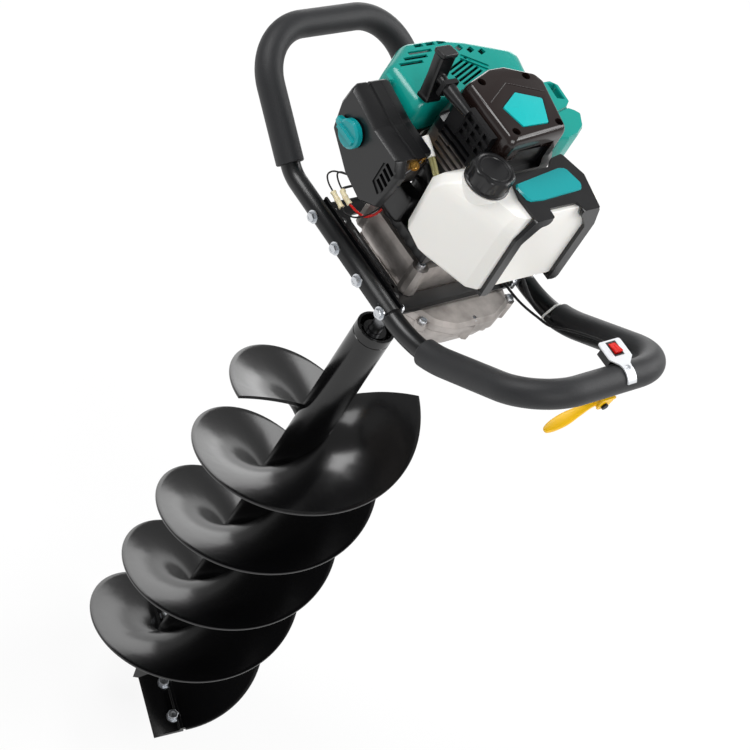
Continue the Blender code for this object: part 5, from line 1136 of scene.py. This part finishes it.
def flight_surface(top_angle, skew):
    """A right-hand helicoid plate: at height z the plate lies at the angle top minus a full turn for
    each lead of drop, and its section runs round the plate's edge with small corner radii. Its upper
    edge is cut at a skew, so it starts so many degrees further down at the tube than at its rim. It is
    dished: the root lies lower than the rim by the dish times the share of the way in, except at the foot."""
    share = np.linspace(0, 1, 260)[:, None]
    half = FLIGHT_THICK / 2
    out = np.linspace(DRILL_R + 0.0002, FLIGHT_R - 0.0012, 24)
    r = np.concatenate([out, [FLIGHT_R - 0.0004, FLIGHT_R, FLIGHT_R, FLIGHT_R - 0.0004], out[::-1]])
    lift = np.concatenate([np.full(24, -half), [0.0003 - half, 0.0012 - half, half - 0.0012, half - 0.0003],
                           np.full(24, half)])
    slope = FLIGHT_LEAD / math.tau / r
    steep = np.sqrt(1 + slope ** 2)
    shift = -lift * slope / steep / r
    inward = (FLIGHT_R - r) / (FLIGHT_R - DRILL_R)
    drop = skew * inward * (1 - share) + FLIGHT_TURN * share
    dish = FLIGHT_DISH * inward * np.clip((1 - share) / 0.12, 0, 1)
    turn = np.radians(top_angle - drop) + shift
    return np.stack([r * np.cos(turn), r * np.sin(turn),
                     FLIGHT_TOP - drop / 360 * FLIGHT_LEAD - dish + lift / steep], -1)


def blade_frame(angle):
    """The cutting edge's frame: X outwards along the flight's end, Y ahead of it, tilted down."""
    return (Matrix.Translation((0, 0, FLIGHT_BOTTOM)) @ Matrix.Rotation(math.radians(angle), 4, "Z")
            @ Matrix.Rotation(math.radians(FOOT_TILT), 4, "X"))


def seat_plate(name, angle):
    """The flat plate welded to the flight's foot: a superellipse section swept along a straight line."""
    section = superellipse(40, 0.12, 0.12) * (0.0150, 0.0025)
    levels = [(0.0340, 0.97), (0.0346, 1.0), (0.1214, 1.0), (0.1220, 0.97)]
    grid = np.roll(stacked(*[(section * share + (-0.0080, -0.0010), x) for x, share in levels]), 1, -1)
    place = np.array(blade_frame(angle))
    return skin(name, grid @ place[:3, :3].T + place[:3, 3], GLOSS_ENAMEL, "drill")


for label, top_angle, skew in (("first", FLIGHT_TOP_ANGLE, -15.0), ("second", FLIGHT_TOP_ANGLE + 180, 8.0)):
    helix = skin("helix_" + label, flight_surface(top_angle, skew), GLOSS_ENAMEL, "drill")
    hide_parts("flight_" + label)
    seat_plate("blade_seat_" + label, top_angle - FLIGHT_TURN)
    softened("blade_" + label, GLOSS_ENAMEL, 0.0005)
    foot = blade_frame(top_angle - FLIGHT_TURN)
    bolts = [foot @ Matrix.Translation((x, -0.012, BLADE_BOLT_SEAT)) for x in (0.052, 0.104)]
    fasteners("blade_bolts_" + label, hex_head(0.0130, 0.0060, 0.0095, 0.0012), bolts, ZINC_PLATE, "drill")


BORE_R = DRILL_R - 0.0035
GROOVE_R = DRILL_R - 0.0007
TUBE_PROFILE = [(DRILL_R - 0.0006, -0.1370), (DRILL_R, -0.1376), (DRILL_R, -0.1488), (GROOVE_R, -0.1494),
                (GROOVE_R, -0.1502), (DRILL_R, -0.1508), (DRILL_R, -0.8754), (DRILL_R - 0.0006, -0.8760),
                (BORE_R, -0.8760), (BORE_R, -0.2050), (0.0086, -0.2050), (0.0086, -0.1410), (0.0145, -0.1410),
                (0.0145, -0.1590), (BORE_R, -0.1590), (BORE_R, -0.1370)]
tube = skin("drill_tube_smooth", ringed(TUBE_PROFILE[::-1], np.linspace(0, math.tau, 96, endpoint=False)),
            GLOSS_ENAMEL, "drill", "joined")
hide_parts("drill_tube")
softened("pilot_point", GLOSS_ENAMEL, 0.0008)


# Studio. A plain pale floor and soft white light from above, and the camera where the photograph's
# was: above the near right side, rolled so that the drill runs to the lower left.

def add_floor(height, reach):
    """A flat floor that the camera sees as white, with only a faint shadow."""
    mesh = bpy.data.meshes.new("floor")
    mesh.from_pydata([(-reach, -reach, height), (reach, -reach, height), (reach, reach, height),
                      (-reach, reach, height)], [], [(0, 1, 2, 3)])
    made = new_finish("pale floor", "#f2f2f2", 0.9)
    tree, shader, place = parts_of(made)
    glow = add_node(tree, "Emission", {"Color": (1, 1, 1, 1), "Strength": 1.0})
    ray = add_node(tree, "LightPath")
    seen = add_node(tree, "Math", {0: ray.outputs["Is Camera Ray"], 1: ray.outputs["Is Glossy Ray"]},
                    operation="ADD")
    any_ray = add_node(tree, "Math", {0: seen.outputs[0], 1: ray.outputs["Is Transmission Ray"]},
                       operation="ADD")
    share = add_node(tree, "Math", {0: any_ray.outputs[0], 1: 0.86}, operation="MULTIPLY", use_clamp=True)
    mix = add_node(tree, "MixShader", {0: share.outputs[0], 1: shader.outputs[0], 2: glow.outputs[0]})
    tree.links.new(mix.outputs[0], tree.nodes["Material Output"].inputs["Surface"])
    mesh.materials.append(made)
    linked("floor", mesh)


FLOOR_Z = -0.95
FLOOR_REACH = 12.0
add_floor(FLOOR_Z, FLOOR_REACH)


def add_lamp(name, at, aim, size, power):
    """A square soft box aimed at a point."""
    data = bpy.data.lights.new(name, "AREA")
    data.size = size
    data.energy = power
    lamp = linked(name, data)
    lamp.location = at
    lamp.rotation_euler = (Vector(aim) - Vector(at)).to_track_quat("-Z", "Y").to_euler()


add_lamp("key", (-1.6, -1.4, 2.6), (0, 0, 0), 1.6, 66)
add_lamp("fill", (2.4, -1.0, 1.6), (0, 0, -0.2), 1.4, 30)
add_lamp("back", (0.4, 2.6, 1.8), (0, 0, 0), 1.6, 40)
add_lamp("rim", (1.55, 1.75, 1.60), (0, 0, 0.2), 1.0, 22)
add_lamp("left", (-1.75, 1.75, -0.05), (0, 0, -0.45), 1.4, 14)

world = bpy.data.worlds.new("studio")
bpy.context.scene.world = world
world.use_nodes = True
sky = world.node_tree
light_path = add_node(sky, "LightPath")
seen = add_node(sky, "Math", {0: light_path.outputs["Is Camera Ray"],
                              1: light_path.outputs["Is Transmission Ray"]}, operation="ADD", use_clamp=True)
level = add_node(sky, "MapRange", {"Value": seen.outputs[0], "To Min": 0.4, "To Max": 1.0})
sky.links.new(level.outputs["Result"], sky.nodes["Background"].inputs["Strength"])
sky.nodes["Background"].inputs["Color"].default_value = (1, 1, 1, 1)

CAMERA_AZIMUTH = math.radians(30.55)
CAMERA_ELEVATION = math.radians(42.88)
CAMERA_ROLL = math.radians(33.86)
CAMERA_DISTANCE = 2.6358
CAMERA_ASIDE = (-0.05757, -0.13934)
CAMERA_LENS = 112.46
SENSOR_WIDTH = 36.0
back = Vector((math.sin(CAMERA_AZIMUTH) * math.cos(CAMERA_ELEVATION),
               -math.cos(CAMERA_AZIMUTH) * math.cos(CAMERA_ELEVATION), math.sin(CAMERA_ELEVATION)))
level_right = Vector((math.cos(CAMERA_AZIMUTH), math.sin(CAMERA_AZIMUTH), 0))
level_up = back.cross(level_right)
right = level_right * math.cos(CAMERA_ROLL) + level_up * math.sin(CAMERA_ROLL)
up = level_up * math.cos(CAMERA_ROLL) - level_right * math.sin(CAMERA_ROLL)
camera_data = bpy.data.cameras.new("camera")
camera_data.lens = CAMERA_LENS
camera_data.sensor_width = SENSOR_WIDTH
camera = linked("camera", camera_data)
turn = Matrix((right, up, back)).transposed().to_4x4()
place = back * CAMERA_DISTANCE + right * CAMERA_ASIDE[0] + up * CAMERA_ASIDE[1]
camera.matrix_world = Matrix.Translation(place) @ turn
bpy.context.scene.camera = camera
bpy.context.scene.view_settings.view_transform = "Standard"
